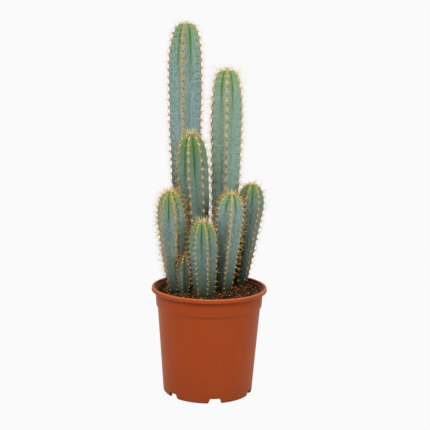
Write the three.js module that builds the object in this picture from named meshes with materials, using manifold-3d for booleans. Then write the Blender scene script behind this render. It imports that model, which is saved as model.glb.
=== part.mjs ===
// Potted blue torch cactus: eight ribbed columns of one young plant in a round plastic nursery pot.
// Millimetres, +Z up. The origin is the centre of the pot's foot on the ground, the front looks towards -Y.
import * as THREE from "three";
import { mergeVertices } from "three/addons/utils/BufferGeometryUtils.js";
import Module from "manifold-3d";

const wasm = await Module();
wasm.setup();

// Pot: a 17 cm nursery pot, measured across its rolled lip.
const RIM_RADIUS = 85.3;
const POT_HEIGHT = 160.5;
const WALL = 1.7;
const FOOT_RADIUS = 63;
const FOOT_RING = 2.2;
const WALL_RADIUS_LOW = 66.2;
const WALL_RADIUS_HIGH = 75.9;
const HEEL_HEIGHT = 4.6;
const COLLAR_RADIUS = 79.3;
const COLLAR_LOW = 132.9;
const COLLAR_STEP = 3;
const COLLAR_FLARE = 1.1;
const LIP_DEPTH = 6.6;
const FLOOR_UNDERSIDE = 8.4;
const FLOOR_FILLET = 2.4;
const POT_SIDES = 52;

// Foot notches and the drainage holes behind them.
const NOTCHES = 6;
const FIRST_NOTCH_DEG = 10;
const NOTCH_WIDTH_LOW = 20.8;
const NOTCH_WIDTH_HIGH = 15;
const NOTCH_HEIGHT = 8;
const NOTCH_RUN = 20;
const NOTCH_OVERRUN = 6;
const DRAIN_RADIUS = 4.5;
const DRAIN_CIRCLE = 50;
const DRAIN_SIDES = 10;

// Potting mix: its level, with low mounds and one dip where the columns stand.
const GAP = 0.3;
const SOIL_LEVEL = 150.5;
const SOIL_SIDES = POT_SIDES / 2;
const HOLE_DEPTH = 14;
const HOLE_SIDES = 24;
const HOLE_CLEARANCE = 0.5;
const HOLE_OVERRUN = 10;
const SOIL_RINGS = [66, 54, 42, 28, 14, 0];
const MOUNDS = [
  { x: 46, y: 40, rise: 4, spread: 18 },
  { x: 22, y: -4, rise: 2.5, spread: 16 },
  { x: -6, y: -40, rise: 1.8, spread: 16 },
  { x: -34, y: -20, rise: 3, spread: 12 },
  { x: -58, y: 2, rise: -3.2, spread: 16 },
];

// Columns. foot and tip are points of the axis, bow moves the axis sideways at half height, turn is the angle
// of one rib from the front, towards +X. radius is measured over the ribs at the belly and footRadius at the
// soil; dome is the height of the rounded top, blunt its squareness, fill how early the column swells and
// furrow the depth between two ribs, as a share of the radius.
const COLUMNS = [
  { name: "column_tall_left", foot: [-29.6, 46], tip: [-40.4, 54, 542], bow: -5, ribs: 5, turn: -9,
    radius: 25.2, footRadius: 15.5, dome: 69, blunt: 0.25, fill: 1.5, furrow: 0.38, tuft: 9, step: 13 },
  { name: "column_tall_right", foot: [19.6, 50], tip: [20.8, 54.5, 474.6], bow: 2.1, ribs: 6, turn: 1,
    radius: 24.9, footRadius: 15, dome: 69, blunt: 0.25, fill: 1.45, furrow: 0.32, tuft: 10, step: 15 },
  { name: "column_middle", foot: [-14.2, 18.2], tip: [-30, -3, 384.6], bow: -2.1, ribs: 7, turn: -12.5,
    radius: 23, footRadius: 13.4, dome: 54, blunt: 0.29, fill: 1.34, furrow: 0.32, tuft: 14, step: 14 },
  { name: "column_left", foot: [-50.3, 8], tip: [-58.4, -28.5, 304.2], bow: 0, ribs: 6, turn: 18.5,
    radius: 20.5, footRadius: 9.2, dome: 46, blunt: 0.36, fill: 1.42, furrow: 0.32, tuft: 12, step: 12 },
  { name: "column_front", foot: [-6.4, -30], tip: [-10.7, -40, 263.3], bow: 0, ribs: 7, turn: 17,
    radius: 19.9, footRadius: 14, dome: 36, blunt: 0.3, fill: 1.9, furrow: 0.32, tuft: 14, step: 12 },
  { name: "column_right_centre", foot: [20.6, 8], tip: [30.4, -10, 300.1], bow: 0.3, ribs: 6, turn: 2,
    radius: 21.4, footRadius: 13.4, dome: 29.5, blunt: 0.38, fill: 1.23, furrow: 0.32, tuft: 9, step: 12 },
  { name: "column_right", foot: [46.6, 43.6], tip: [61.1, 30, 308.5], bow: 0.7, ribs: 6, turn: 37.5,
    radius: 20.2, footRadius: 9.4, dome: 36.5, blunt: 0.34, fill: 1.12, furrow: 0.32, tuft: 7, step: 12 },
  { name: "column_small", foot: [-35.4, -13], tip: [-36.6, -22.5, 209.2], bow: 0, ribs: 6, turn: -21,
    radius: 11, footRadius: 8.5, dome: 18, blunt: 0.45, fill: 1.5, furrow: 0.32, tuft: 9, step: 10 },
];

// Rib section, as shares of the radius over the ribs.
const FOOT_FURROW_DEPTH = 0.14;
const FLANK_BULGE = 0.035;
const POINTS_PER_RIB = 4;
const COLLAR_ABOVE_SOIL = 3;
const TIP_OPENING = 0.985;
const FURROW_GROWTH = 1.6;
const SHAFT_RING_PITCH = 48;
const DOME_RINGS = [0, 0.35, 0.6, 0.8, 0.92, TIP_OPENING];

// Spines.
const SPINE_RADIUS = 0.5;
const SPINE_ROOT = 2.5;
const SPINE_KINDS = [
  { lean: 22, length: 12 },
  { lean: 58, length: 9 },
  { lean: 40, length: 10.5 },
];
const GOLDEN_ANGLE = Math.PI * (3 - Math.sqrt(5));
const ROOT_BESIDE_CREST = 1.2;
const SHORTEST_SPINE = 4;
const SPINE_SPACE = 1.4;
const HIGHEST_AREOLE = 0.97;
const CREST_SAMPLES = 160;
const FIRST_AREOLE = [0.4, 0.9];
const ROOT_SUNK = 0.9;
const SPINE_CHECKS = [0.4, 0.7, 1];
const SPINE_SHRINK = 0.85;
const ABOVE_SOIL = 1.5;
const INSIDE_LIP = 2;
const TUFT_SPINES = 6;
const TUFT_RING = 3;
const TUFT_LEANS = [48, 28];
const TUFT_SHARE = 0.85;

const POT_LOOK = { colour: 0x9e431a, roughness: 0.4 };
const SOIL_LOOK = { colour: 0x3c2818, roughness: 0.95 };
const SKIN_LOOK = { colour: 0x6e938e, roughness: 0.65 };

const radians = THREE.MathUtils.degToRad;

// A closed three.js geometry as a solid that can be cut and joined.
function solid(geometry) {
  const bare = geometry.index ? geometry.toNonIndexed() : geometry.clone();
  bare.deleteAttribute("normal");
  bare.deleteAttribute("uv");
  const merged = mergeVertices(bare, 1e-4);
  const vertProperties = new Float32Array(merged.attributes.position.array);
  const triVerts = new Uint32Array(merged.index.array);
  const kept = [];
  for (let i = 0; i < triVerts.length; i += 3) {
    const [a, b, c] = triVerts.slice(i, i + 3);
    if (a !== b && b !== c && c !== a) kept.push(a, b, c);
  }
  return new wasm.Manifold(new wasm.Mesh({ numProp: 3, vertProperties, triVerts: new Uint32Array(kept) }));
}

// A solid back as a three.js mesh of its own colour.
function piece(name, body, { colour, roughness }) {
  const { vertProperties, triVerts, numProp } = body.getMesh();
  const positions = new Float32Array((vertProperties.length / numProp) * 3);
  for (let i = 0; i * numProp < vertProperties.length; i += 1) {
    positions.set(vertProperties.subarray(i * numProp, i * numProp + 3), i * 3);
  }
  const geometry = new THREE.BufferGeometry();
  geometry.setAttribute("position", new THREE.BufferAttribute(positions, 3));
  geometry.setIndex(new THREE.BufferAttribute(new Uint32Array(triVerts), 1));
  geometry.computeVertexNormals();
  const material = new THREE.MeshStandardMaterial({ color: colour, roughness, metalness: 0 });
  const mesh = new THREE.Mesh(geometry, material);
  mesh.name = name;
  return mesh;
}

// A turned body from a profile of [radius, height] points, with its axis along Z.
function turned(profile, sides) {
  const points = profile.map(([radius, height]) => new THREE.Vector2(radius, height));
  return new THREE.LatheGeometry(points, sides).rotateX(Math.PI / 2);
}

function potBody() {
  const inner = COLLAR_RADIUS - WALL;
  const outside = [
    [0, FLOOR_UNDERSIDE],
    [FOOT_RADIUS - FOOT_RING - 0.8, FLOOR_UNDERSIDE],
    [FOOT_RADIUS - FOOT_RING, 0],
    [FOOT_RADIUS, 0],
    [WALL_RADIUS_LOW - 0.8, 1.8],
    [WALL_RADIUS_LOW, HEEL_HEIGHT],
    [WALL_RADIUS_HIGH, COLLAR_LOW - COLLAR_STEP],
    [COLLAR_RADIUS - 2 * COLLAR_FLARE, COLLAR_LOW - COLLAR_STEP / 2],
    [COLLAR_RADIUS - COLLAR_FLARE, COLLAR_LOW],
    [COLLAR_RADIUS, POT_HEIGHT - LIP_DEPTH - 0.8],
    [RIM_RADIUS - 4.2, POT_HEIGHT - LIP_DEPTH],
  ];
  const lip = [
    [RIM_RADIUS - 1.1, POT_HEIGHT - 6],
    [RIM_RADIUS, POT_HEIGHT - 4.4],
    [RIM_RADIUS, POT_HEIGHT - 2.6],
    [RIM_RADIUS - 1, POT_HEIGHT - 0.8],
    [RIM_RADIUS - 2.6, POT_HEIGHT],
    [RIM_RADIUS - 4, POT_HEIGHT - 0.6],
    [RIM_RADIUS - 4.7, POT_HEIGHT - 2],
  ];
  const inside = [
    [RIM_RADIUS - 4.9, POT_HEIGHT - 4.2],
    [inner, POT_HEIGHT - 5],
    [inner - COLLAR_FLARE, COLLAR_LOW],
    [WALL_RADIUS_HIGH - WALL, COLLAR_LOW - COLLAR_STEP],
    [WALL_RADIUS_LOW - WALL, FLOOR_UNDERSIDE + WALL + FLOOR_FILLET],
    [WALL_RADIUS_LOW - WALL - 1.4, FLOOR_UNDERSIDE + WALL],
    [0, FLOOR_UNDERSIDE + WALL],
  ];
  return solid(turned([...outside, ...lip, ...inside], POT_SIDES));
}

// A trapezoid gap through the foot, seen in the wall, running in from the outside.
function notch(azimuth) {
  const outline = new THREE.Shape([
    new THREE.Vector2(-NOTCH_WIDTH_LOW / 2, -1),
    new THREE.Vector2(NOTCH_WIDTH_LOW / 2, -1),
    new THREE.Vector2(NOTCH_WIDTH_HIGH / 2, NOTCH_HEIGHT),
    new THREE.Vector2(-NOTCH_WIDTH_HIGH / 2, NOTCH_HEIGHT),
  ]);
  const gap = new THREE.ExtrudeGeometry(outline, { depth: NOTCH_RUN, bevelEnabled: false });
  const start = NOTCH_RUN - WALL_RADIUS_LOW - NOTCH_OVERRUN;
  return solid(gap.rotateX(Math.PI / 2).translate(0, start, 0).rotateZ(azimuth));
}

function drain(azimuth) {
  const hole = new THREE.CylinderGeometry(DRAIN_RADIUS, DRAIN_RADIUS, 3 * WALL, DRAIN_SIDES);
  hole.rotateX(Math.PI / 2).translate(0, -DRAIN_CIRCLE, FLOOR_UNDERSIDE + WALL / 2);
  return solid(hole.rotateZ(azimuth));
}

function makePot() {
  let body = potBody();
  for (let i = 0; i < NOTCHES; i += 1) {
    const azimuth = radians(FIRST_NOTCH_DEG) + (i * 2 * Math.PI) / NOTCHES;
    body = body.subtract(notch(azimuth)).subtract(drain(azimuth));
  }
  return piece("pot", body, POT_LOOK);
}

function soilHeight(x, y) {
  const rises = MOUNDS.map(
    (mound) => mound.rise * Math.exp(-((x - mound.x) ** 2 + (y - mound.y) ** 2) / (2 * mound.spread ** 2)),
  );
  return SOIL_LEVEL + rises.reduce((sum, rise) => sum + rise, 0);
}

// The axis of a column as a curve from just above the soil to the tip, even in height.
function axisOf(column) {
  const [x, y] = column.foot;
  const foot = new THREE.Vector3(x, y, soilHeight(x, y) + COLLAR_ABOVE_SOIL);
  const tip = new THREE.Vector3(...column.tip);
  const middle = foot.clone().lerp(tip, 0.5);
  middle.x += column.bow;
  return new THREE.QuadraticBezierCurve3(foot, middle, tip);
}

// Radius over the ribs at a share of the height: a swelling shaft under a blunt dome.
function crestRadius(column, share) {
  const height = column.tip[2] - soilHeight(...column.foot) - COLLAR_ABOVE_SOIL;
  const belly = 1 - column.dome / height;
  if (share < belly) {
    const swelling = 1 - (1 - share / belly) ** column.fill;
    return column.footRadius + (column.radius - column.footRadius) * swelling;
  }
  const up = (share - belly) / (1 - belly);
  return column.radius * (1 - up * up) ** column.blunt;
}

// Share of the crest radius at an angle: straight flanks from crest to furrow, slightly swollen.
function ribShare(column, share, angle) {
  const half = Math.PI / column.ribs;
  const turnedBy = angle - radians(column.turn);
  const phase = Math.abs(THREE.MathUtils.euclideanModulo(turnedBy + half, 2 * half) - half);
  const depth = THREE.MathUtils.lerp(FOOT_FURROW_DEPTH, column.furrow, Math.min(1, share * FURROW_GROWTH));
  const furrow = 1 - depth;
  const flank = (furrow * Math.sin(half)) / (furrow * Math.sin(half - phase) + Math.sin(phase));
  return flank * (1 + FLANK_BULGE * Math.sin((Math.PI * phase) / half));
}

// The axis point at a share of the height, with the section's own sideways and backwards directions.
function sectionAt(column, share) {
  const axis = column.axis;
  const along = axis.getTangent(share);
  const side = new THREE.Vector3(1, 0, 0).addScaledVector(along, -along.x).normalize();
  const back = new THREE.Vector3().crossVectors(along, side);
  return { centre: axis.getPoint(share), along, side, back };
}

// Direction across the section at an angle from the front, towards +X.
function across(section, angle) {
  return section.side.clone().multiplyScalar(Math.sin(angle)).addScaledVector(section.back, -Math.cos(angle));
}

function skinPoint(column, share, angle) {
  const section = sectionAt(column, share);
  const radius = crestRadius(column, share) * ribShare(column, share, angle);
  return section.centre.addScaledVector(across(section, angle), radius);
}

// Shares of the height at which the column has a ring: even below, closer over the dome.
function ringShares(column) {
  const height = column.tip[2] - soilHeight(...column.foot) - COLLAR_ABOVE_SOIL;
  const belly = 1 - column.dome / height;
  const shaftRings = Math.max(3, Math.round((belly * height) / SHAFT_RING_PITCH));
  const shaft = Array.from({ length: shaftRings }, (_, i) => (belly * i) / shaftRings);
  const dome = DOME_RINGS.map((up) => belly + (1 - belly) * up);
  return [...shaft, ...dome];
}

// A column's ribbed body: rings of points from the buried end to the tip, closed at both ends.
function columnBody(column) {
  const sides = column.ribs * POINTS_PER_RIB;
  const shares = ringShares(column);
  const foot = sectionAt(column, 0);
  const angleOf = (i) => radians(column.turn) + (i * 2 * Math.PI) / sides;
  const rings = shares.map((share) =>
    Array.from({ length: sides }, (_, i) => skinPoint(column, share, angleOf(i))),
  );
  const down = -HOLE_DEPTH - COLLAR_ABOVE_SOIL;
  const buried = rings[0].map((point) => point.clone().addScaledVector(foot.along, down));
  const start = foot.centre.clone().addScaledVector(foot.along, down);
  const end = column.axis.getPoint(1);
  const triangles = [];
  const all = [buried, ...rings];
  for (let i = 0; i < sides; i += 1) {
    const next = (i + 1) % sides;
    triangles.push(start, buried[next], buried[i]);
    for (let k = 0; k + 1 < all.length; k += 1) {
      triangles.push(all[k][i], all[k][next], all[k + 1][next]);
      triangles.push(all[k][i], all[k + 1][next], all[k + 1][i]);
    }
    triangles.push(all.at(-1)[i], all.at(-1)[next], end);
  }
  return solid(new THREE.BufferGeometry().setFromPoints(triangles));
}

// Free distance from a column's skin, measured level, or a large one above its tip.
function clearOf(column, point) {
  const [, , top] = column.tip;
  const low = column.axis.v0.z;
  const share = THREE.MathUtils.clamp((point.z - low) / (top - low), 0, TIP_OPENING);
  const centre = column.axis.getPoint(share);
  const dx = point.x - centre.x;
  const dy = point.y - centre.y;
  const skin = crestRadius(column, share) * ribShare(column, share, Math.atan2(dx, -dy));
  return Math.hypot(Math.hypot(dx, dy) - skin, Math.max(0, point.z - top));
}

// A spine may stand where it is nearer to its own column than to any other, and clear of soil and lip.
function hasRoom(column, root, direction, length) {
  return SPINE_CHECKS.every((part) => {
    const point = root.clone().addScaledVector(direction, length * part);
    const own = clearOf(column, point);
    const others = COLUMNS.filter((other) => other !== column);
    const nearest = Math.min(...others.map((other) => clearOf(other, point)));
    const overSoil = point.z - soilHeight(point.x, point.y);
    const aboveLip = point.z > POT_HEIGHT + INSIDE_LIP;
    const insideLip = Math.hypot(point.x, point.y) < COLLAR_RADIUS - WALL - INSIDE_LIP;
    return own + SPINE_SPACE < nearest && overSoil > ABOVE_SOIL && (aboveLip || insideLip);
  });
}

// One needle: a slim three-sided cone with its root sunk in the skin.
function needle(root, direction, length) {
  const cone = new THREE.ConeGeometry(SPINE_RADIUS, length + SPINE_ROOT, 3);
  cone.translate(0, (length - SPINE_ROOT) / 2, 0);
  const turn = new THREE.Quaternion().setFromUnitVectors(new THREE.Vector3(0, 1, 0), direction);
  return solid(cone.applyQuaternion(turn).translate(root.x, root.y, root.z));
}

// Spots along one crest at even steps, with the outward direction and the direction up the crest.
function crestSpots(column, rib) {
  const angle = radians(column.turn) + (rib * 2 * Math.PI) / column.ribs;
  const shareOf = (i) => (HIGHEST_AREOLE * i) / CREST_SAMPLES;
  const points = Array.from({ length: CREST_SAMPLES + 1 }, (_, i) => skinPoint(column, shareOf(i), angle));
  const spots = [];
  let walked = 0;
  let due = column.step * FIRST_AREOLE[rib % 2];
  for (let i = 1; i <= CREST_SAMPLES; i += 1) {
    walked += points[i].distanceTo(points[i - 1]);
    if (walked < due) continue;
    due += column.step;
    const section = sectionAt(column, shareOf(i));
    const up = points[i].clone().sub(points[i - 1]).normalize();
    const out = across(section, angle);
    const aside = across(section, angle + Math.PI / 2);
    spots.push({ point: points[i], up, aside, out: out.addScaledVector(up, -out.dot(up)).normalize() });
  }
  return spots;
}

// Spines along every crest: each leans its own way round the outward direction, by the golden angle.
function crestNeedles(column) {
  const needles = [];
  let count = 0;
  for (let rib = 0; rib < column.ribs; rib += 1) {
    for (const spot of crestSpots(column, rib)) {
      count += 1;
      const kind = SPINE_KINDS[count % SPINE_KINDS.length];
      const round = count * GOLDEN_ANGLE;
      const lean = radians(kind.lean);
      const direction = spot.out.clone().multiplyScalar(Math.cos(lean));
      direction.addScaledVector(spot.up, Math.sin(lean) * Math.cos(round));
      direction.addScaledVector(spot.aside, Math.sin(lean) * Math.sin(round)).normalize();
      const beside = Math.sign(Math.sin(round)) * ROOT_BESIDE_CREST;
      const root = spot.point.clone().addScaledVector(spot.aside, beside);
      root.addScaledVector(spot.out, -ROOT_SUNK);
      let length = kind.length;
      while (length > SHORTEST_SPINE && !hasRoom(column, root, direction, length)) length *= SPINE_SHRINK;
      if (length > SHORTEST_SPINE) needles.push(needle(root, direction, length));
    }
  }
  return needles;
}

// The tuft on the tip: one upright spine and a ring that spreads.
function tuftNeedles(column) {
  const { along, side, back, centre } = sectionAt(column, 1);
  const needles = [needle(centre.clone().addScaledVector(along, -1), along, column.tuft)];
  for (let i = 0; i < TUFT_SPINES; i += 1) {
    const round = radians(column.turn) + (i * 2 * Math.PI) / TUFT_SPINES;
    const outwards = side.clone().multiplyScalar(Math.cos(round)).addScaledVector(back, Math.sin(round));
    const lean = radians(TUFT_LEANS[i % 2]);
    const direction = along.clone().multiplyScalar(Math.cos(lean)).addScaledVector(outwards, Math.sin(lean));
    const root = centre.clone().addScaledVector(outwards, TUFT_RING).addScaledVector(along, -1.5);
    needles.push(needle(root, direction.normalize(), column.tuft * TUFT_SHARE));
  }
  return needles;
}

function makeColumn(column) {
  const needles = [...crestNeedles(column), ...tuftNeedles(column)];
  const body = needles.reduce((sum, spine) => sum.add(spine), columnBody(column));
  return piece(column.name, body, SKIN_LOOK);
}

// The plain round hole that a column stands in, along the column's own foot.
function socket(column) {
  const { along, centre } = sectionAt(column, 0);
  const radius = column.footRadius + HOLE_CLEARANCE;
  const below = HOLE_DEPTH + COLLAR_ABOVE_SOIL + GAP;
  const hole = new THREE.CylinderGeometry(radius, radius, below + HOLE_OVERRUN, HOLE_SIDES);
  const turn = new THREE.Quaternion().setFromUnitVectors(new THREE.Vector3(0, 1, 0), along);
  const middle = centre.clone().addScaledVector(along, (HOLE_OVERRUN - below) / 2);
  return solid(hole.applyQuaternion(turn).translate(middle.x, middle.y, middle.z));
}

function makeSoil() {
  const wallTop = COLLAR_RADIUS - WALL - GAP;
  const bottom = FLOOR_UNDERSIDE + WALL + GAP;
  const sides = [
    [0, bottom],
    [WALL_RADIUS_LOW - WALL - 1.8, bottom],
    [WALL_RADIUS_LOW - WALL - GAP, bottom + FLOOR_FILLET],
    [WALL_RADIUS_HIGH - WALL - GAP - 0.1, COLLAR_LOW - COLLAR_STEP],
    [wallTop - COLLAR_FLARE - 0.2, COLLAR_LOW],
  ];
  const top = [wallTop - 0.4, ...SOIL_RINGS].map((radius) => [radius, SOIL_LEVEL]);
  const mass = turned([...sides, ...top], SOIL_SIDES);
  const { position } = mass.attributes;
  for (let i = 0; i < position.count; i += 1) {
    if (position.getZ(i) > SOIL_LEVEL - 1) position.setZ(i, soilHeight(position.getX(i), position.getY(i)));
  }
  const body = COLUMNS.reduce((sum, column) => sum.subtract(socket(column)), solid(mass));
  return piece("potting_mix", body, SOIL_LOOK);
}

for (const column of COLUMNS) column.axis = axisOf(column);

const plant = new THREE.Group();
plant.name = "potted_blue_torch_cactus";
plant.add(makePot(), makeSoil(), ...COLUMNS.map(makeColumn));

export default plant;
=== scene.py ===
# %% [markdown]
# Potted blue torch cactus. This lesson dresses a measured plant model: eight ribbed columns of one young
# plant, spines and all, in dark potting mix in a terracotta-coloured nursery pot. The measured model is
# loaded first, and every finer piece is made around it, in metres, +Z up, with the front towards -Y.

# %% Load the measured model
import math

import bmesh
import bpy
import numpy as np
from mathutils import Matrix, Vector, noise


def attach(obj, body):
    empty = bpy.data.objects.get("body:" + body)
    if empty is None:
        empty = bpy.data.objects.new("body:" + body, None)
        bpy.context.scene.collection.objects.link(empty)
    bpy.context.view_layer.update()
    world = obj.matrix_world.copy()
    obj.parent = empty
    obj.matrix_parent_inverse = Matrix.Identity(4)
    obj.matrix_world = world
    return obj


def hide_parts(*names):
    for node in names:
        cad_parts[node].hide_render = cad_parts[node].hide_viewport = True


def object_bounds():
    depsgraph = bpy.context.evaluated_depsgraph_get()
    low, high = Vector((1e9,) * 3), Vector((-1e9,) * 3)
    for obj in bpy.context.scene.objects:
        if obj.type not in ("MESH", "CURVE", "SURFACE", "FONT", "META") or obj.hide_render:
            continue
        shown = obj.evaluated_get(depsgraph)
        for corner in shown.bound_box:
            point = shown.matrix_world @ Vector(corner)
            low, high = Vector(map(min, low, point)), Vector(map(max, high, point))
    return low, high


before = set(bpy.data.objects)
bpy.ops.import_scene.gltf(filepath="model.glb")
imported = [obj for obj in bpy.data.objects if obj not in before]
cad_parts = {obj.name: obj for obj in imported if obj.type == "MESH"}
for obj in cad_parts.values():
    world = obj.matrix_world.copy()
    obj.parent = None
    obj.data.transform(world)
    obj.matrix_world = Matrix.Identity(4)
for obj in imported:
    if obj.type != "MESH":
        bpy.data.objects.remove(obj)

CAD_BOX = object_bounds()
MM = 0.001
print("measured nodes:", sorted(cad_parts))
print("measured box, mm:", [[round(v / MM, 1) for v in corner] for corner in CAD_BOX])

# %% [markdown]
# The camera stands 1.7 m in front of the plant and just above its top, looking down slightly. A long lens
# keeps the columns upright. The picture is turned by about one degree, so the camera is rolled by that
# small angle instead of tilting the plant.

# %% Camera
CAMERA_PLACE = Vector((0.0066, -1.7, 0.575))
LOOK_DOWN = 0.17916
ROLL = 0.018
LENS_MM = 98.8


def add_camera():
    forward = Vector((0, math.cos(LOOK_DOWN), -math.sin(LOOK_DOWN)))
    level = Vector((1, 0, 0))
    upright = level.cross(forward)
    right = level * math.cos(ROLL) + upright * math.sin(ROLL)
    up = upright * math.cos(ROLL) - level * math.sin(ROLL)
    data = bpy.data.cameras.new("portrait_camera")
    data.lens = LENS_MM
    camera = bpy.data.objects.new("portrait_camera", data)
    bpy.context.scene.collection.objects.link(camera)
    turned = Matrix((right, up, -forward)).transposed().to_4x4()
    camera.matrix_world = Matrix.Translation(CAMERA_PLACE) @ turned
    bpy.context.scene.camera = camera


add_camera()
print("camera lens, mm:", LENS_MM)

# %% [markdown]
# Materials and light are trees of nodes. Small helpers keep such a tree short to write: one feeds a socket
# with a plain value or with the output of another node, one adds a node with its settings and feeds, and
# one starts a material from a colour and a roughness.

# %% Node helpers
def feed(tree, socket, value):
    if isinstance(value, bpy.types.NodeSocket):
        tree.links.new(value, socket)
    else:
        socket.default_value = value


def add_node(tree, kind, feeds=None, **settings):
    node = tree.nodes.new(kind)
    for setting, value in settings.items():
        setattr(node, setting, value)
    for socket, value in (feeds or {}).items():
        feed(tree, node.inputs[socket], value)
    return node


def plain_material(name, colour, roughness):
    material = bpy.data.materials.new(name)
    material.use_nodes = True
    shader = material.node_tree.nodes["Principled BSDF"]
    shader.inputs["Base Color"].default_value = colour
    shader.inputs["Roughness"].default_value = roughness
    return material, shader


print("node helpers: feed, add_node, plain_material")

# %% [markdown]
# A product picture like this one stands on a white light table, so bright that no shadow shows and the
# table and the wall run into one white. The camera therefore sees an even white, while the plant is lit by
# a soft white room and by soft boxes. The table sends little light up, so the lip and the leaning stems
# keep their undersides dark.

# %% Light table and white room
WHITE = (1, 1, 1, 1)
PAPER_WHITE = 0.955
TABLE_GREY = (0.42, 0.42, 0.42, 1)
TABLE_HALF = 30.0
ROOM_LIGHT = 0.5


def white_to_camera(tree, glow_kind, other, result):
    ray = add_node(tree, "ShaderNodeLightPath")
    glow = add_node(tree, glow_kind, {"Color": WHITE, "Strength": PAPER_WHITE})
    feeds = {"Fac": ray.outputs["Is Camera Ray"], 1: other, 2: glow.outputs[0]}
    feed(tree, result.inputs["Surface"], add_node(tree, "ShaderNodeMixShader", feeds).outputs[0])


def add_light_table():
    material, shader = plain_material("light_table", TABLE_GREY, 0.8)
    tree = material.node_tree
    white_to_camera(tree, "ShaderNodeEmission", shader.outputs[0], tree.nodes["Material Output"])
    mesh = bpy.data.meshes.new("light_table")
    corners = [(x * TABLE_HALF, y * TABLE_HALF, 0) for x, y in ((-1, -1), (1, -1), (1, 1), (-1, 1))]
    mesh.from_pydata(corners, [], [(0, 1, 2, 3)])
    mesh.materials.append(material)
    table = bpy.data.objects.new("light_table", mesh)
    bpy.context.scene.collection.objects.link(table)


def add_white_room():
    world = bpy.data.worlds.new("white_room")
    world.use_nodes = True
    tree = world.node_tree
    room = tree.nodes["Background"]
    room.inputs["Color"].default_value = WHITE
    room.inputs["Strength"].default_value = ROOM_LIGHT
    white_to_camera(tree, "ShaderNodeBackground", room.outputs[0], tree.nodes["World Output"])
    bpy.context.scene.world = world
    bpy.context.scene.view_settings.view_transform = "Standard"


add_light_table()
add_white_room()
print("room light:", ROOM_LIGHT, "paper white:", PAPER_WHITE)

# %% [markdown]
# Broad soft boxes stand in front and above, and one at each side gives the pot its pale edges. Area lamps
# of their size make light as soft as the real ones do, so the ribs are shaded gently.

# %% Soft boxes
SOFT_BOXES = [  # name, place, height that it aims at, size, watts
    ("key_box", (-0.5, -2.0, 2.0), 0.28, (1.5, 1.2), 41),
    ("fill_box", (1.7, -1.3, 1.3), 0.28, (0.8, 1.4), 19),
    ("left_box", (-2.0, -0.7, 1.1), 0.28, (0.6, 1.4), 11),
    ("top_box", (0.1, 0.5, 2.2), 0.3, (1.4, 1.4), 11),
]


def add_soft_box(name, place, aim_height, size, watts):
    data = bpy.data.lights.new(name, "AREA")
    data.shape = "RECTANGLE"
    data.size, data.size_y = size
    data.energy = watts
    lamp = bpy.data.objects.new(name, data)
    bpy.context.scene.collection.objects.link(lamp)
    lamp.location = place
    lamp.rotation_euler = (Vector((0, 0, aim_height)) - Vector(place)).to_track_quat("-Z", "Y").to_euler()


for soft_box in SOFT_BOXES:
    add_soft_box(*soft_box)

# %% [markdown]
# A torch cactus column is a stem with deep ribs. Its axis leans or bows a little, it swells from a slim
# foot to a belly, and it closes in a blunt dome. One formula for the radius, with few values for each
# column, gives all of that, and the same formula places every areole and spine. The values are the real
# plant's sizes in millimetres. Each row of the table holds one value for each column, in the order of the
# names, so that the columns can be compared at a glance.

# %% The columns' sizes
COLUMNS = [dict(name=name) for name in (
    "column_tall_left", "column_tall_right", "column_middle", "column_left", "column_front",
    "column_right_centre", "column_right", "column_small")]
FLOOR_LEVEL = 150.5
MOUNDS = [(46, 40, 4, 18), (22, -4, 2.5, 16), (-6, -40, 1.8, 16), (-34, -20, 3, 12), (-58, 2, -3.2, 16)]
FOOT_RISE = 3.0


def give(**rows):
    for label, values in rows.items():
        for column, value in zip(COLUMNS, values, strict=True):
            column[label] = value


give(
    foot=((-29.6, 46), (19.6, 50), (-14.2, 18.2), (-50.3, 8), (-6.4, -30), (20.6, 8), (46.6, 43.6),
          (-35.4, -13)),
    tip=((-40.4, 54, 542), (20.8, 54.5, 474.6), (-30, -3, 384.6), (-58.4, -28.5, 304.2), (-10.7, -40, 263.3),
         (30.4, -10, 300.1), (61.1, 30, 308.5), (-36.6, -22.5, 209.2)),
    bow=(-5, 2.1, -2.1, 0, 0, 0.3, 0.7, 0),  # how far the axis is pulled sideways
    ribs=(5, 6, 7, 6, 7, 6, 6, 6),
    turn=(-9, 1, -12.5, 18.5, 17, 2, 37.5, -21),  # degrees from the front to one rib, towards +X
    radius=(25.2, 24.9, 23, 20.5, 19.9, 21.4, 20.2, 11),
    foot_radius=(15.5, 15, 13.4, 9.2, 14, 13.4, 9.4, 8.5),
    dome=(69, 69, 54, 46, 36, 29.5, 36.5, 18),  # height of the part that closes
    blunt=(0.28, 0.25, 0.29, 0.36, 0.3, 0.38, 0.34, 0.45),  # less is blunter
    fill=(1.5, 1.45, 1.34, 1.42, 1.9, 1.23, 1.12, 1.5),  # how soon it swells above the foot
    furrow=(0.38,) + (0.32,) * 7,  # depth, as a share of the radius
    pitch=(11.0, 13.0, 12.6, 8.6, 7.9, 8.3, 9.5, 6.3),  # from areole to areole
)


def soil_height(x, y):
    level = FLOOR_LEVEL + 0 * x
    for cx, cy, rise, spread in MOUNDS:
        level = level + rise * np.exp(-((x - cx) ** 2 + (y - cy) ** 2) / (2 * spread**2))
    return level


for column in COLUMNS:
    x, y = column["foot"]
    low = np.array([x, y, float(soil_height(x, y)) + FOOT_RISE])
    high = np.array(column["tip"], float)
    column["low"], column["high"] = low, high
    column["middle"] = (low + high) / 2 + np.array([column["bow"], 0, 0])
    column["height"] = high[2] - low[2]
    column["belly"] = 1 - column["dome"] / column["height"]
print("column heights, mm:", {c["name"]: round(c["height"]) for c in COLUMNS})

# %% [markdown]
# The skin formula has three parts: the axis, the radius over the ribs at a share of the height, and the
# share of that radius between a rib's crest and its furrow. Flanks run nearly straight from crest to
# furrow, the crest is a little rounded and the furrow is a sharp fold. Whole arrays go through each part
# at once, which is how a fine skin stays quick to make.

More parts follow.
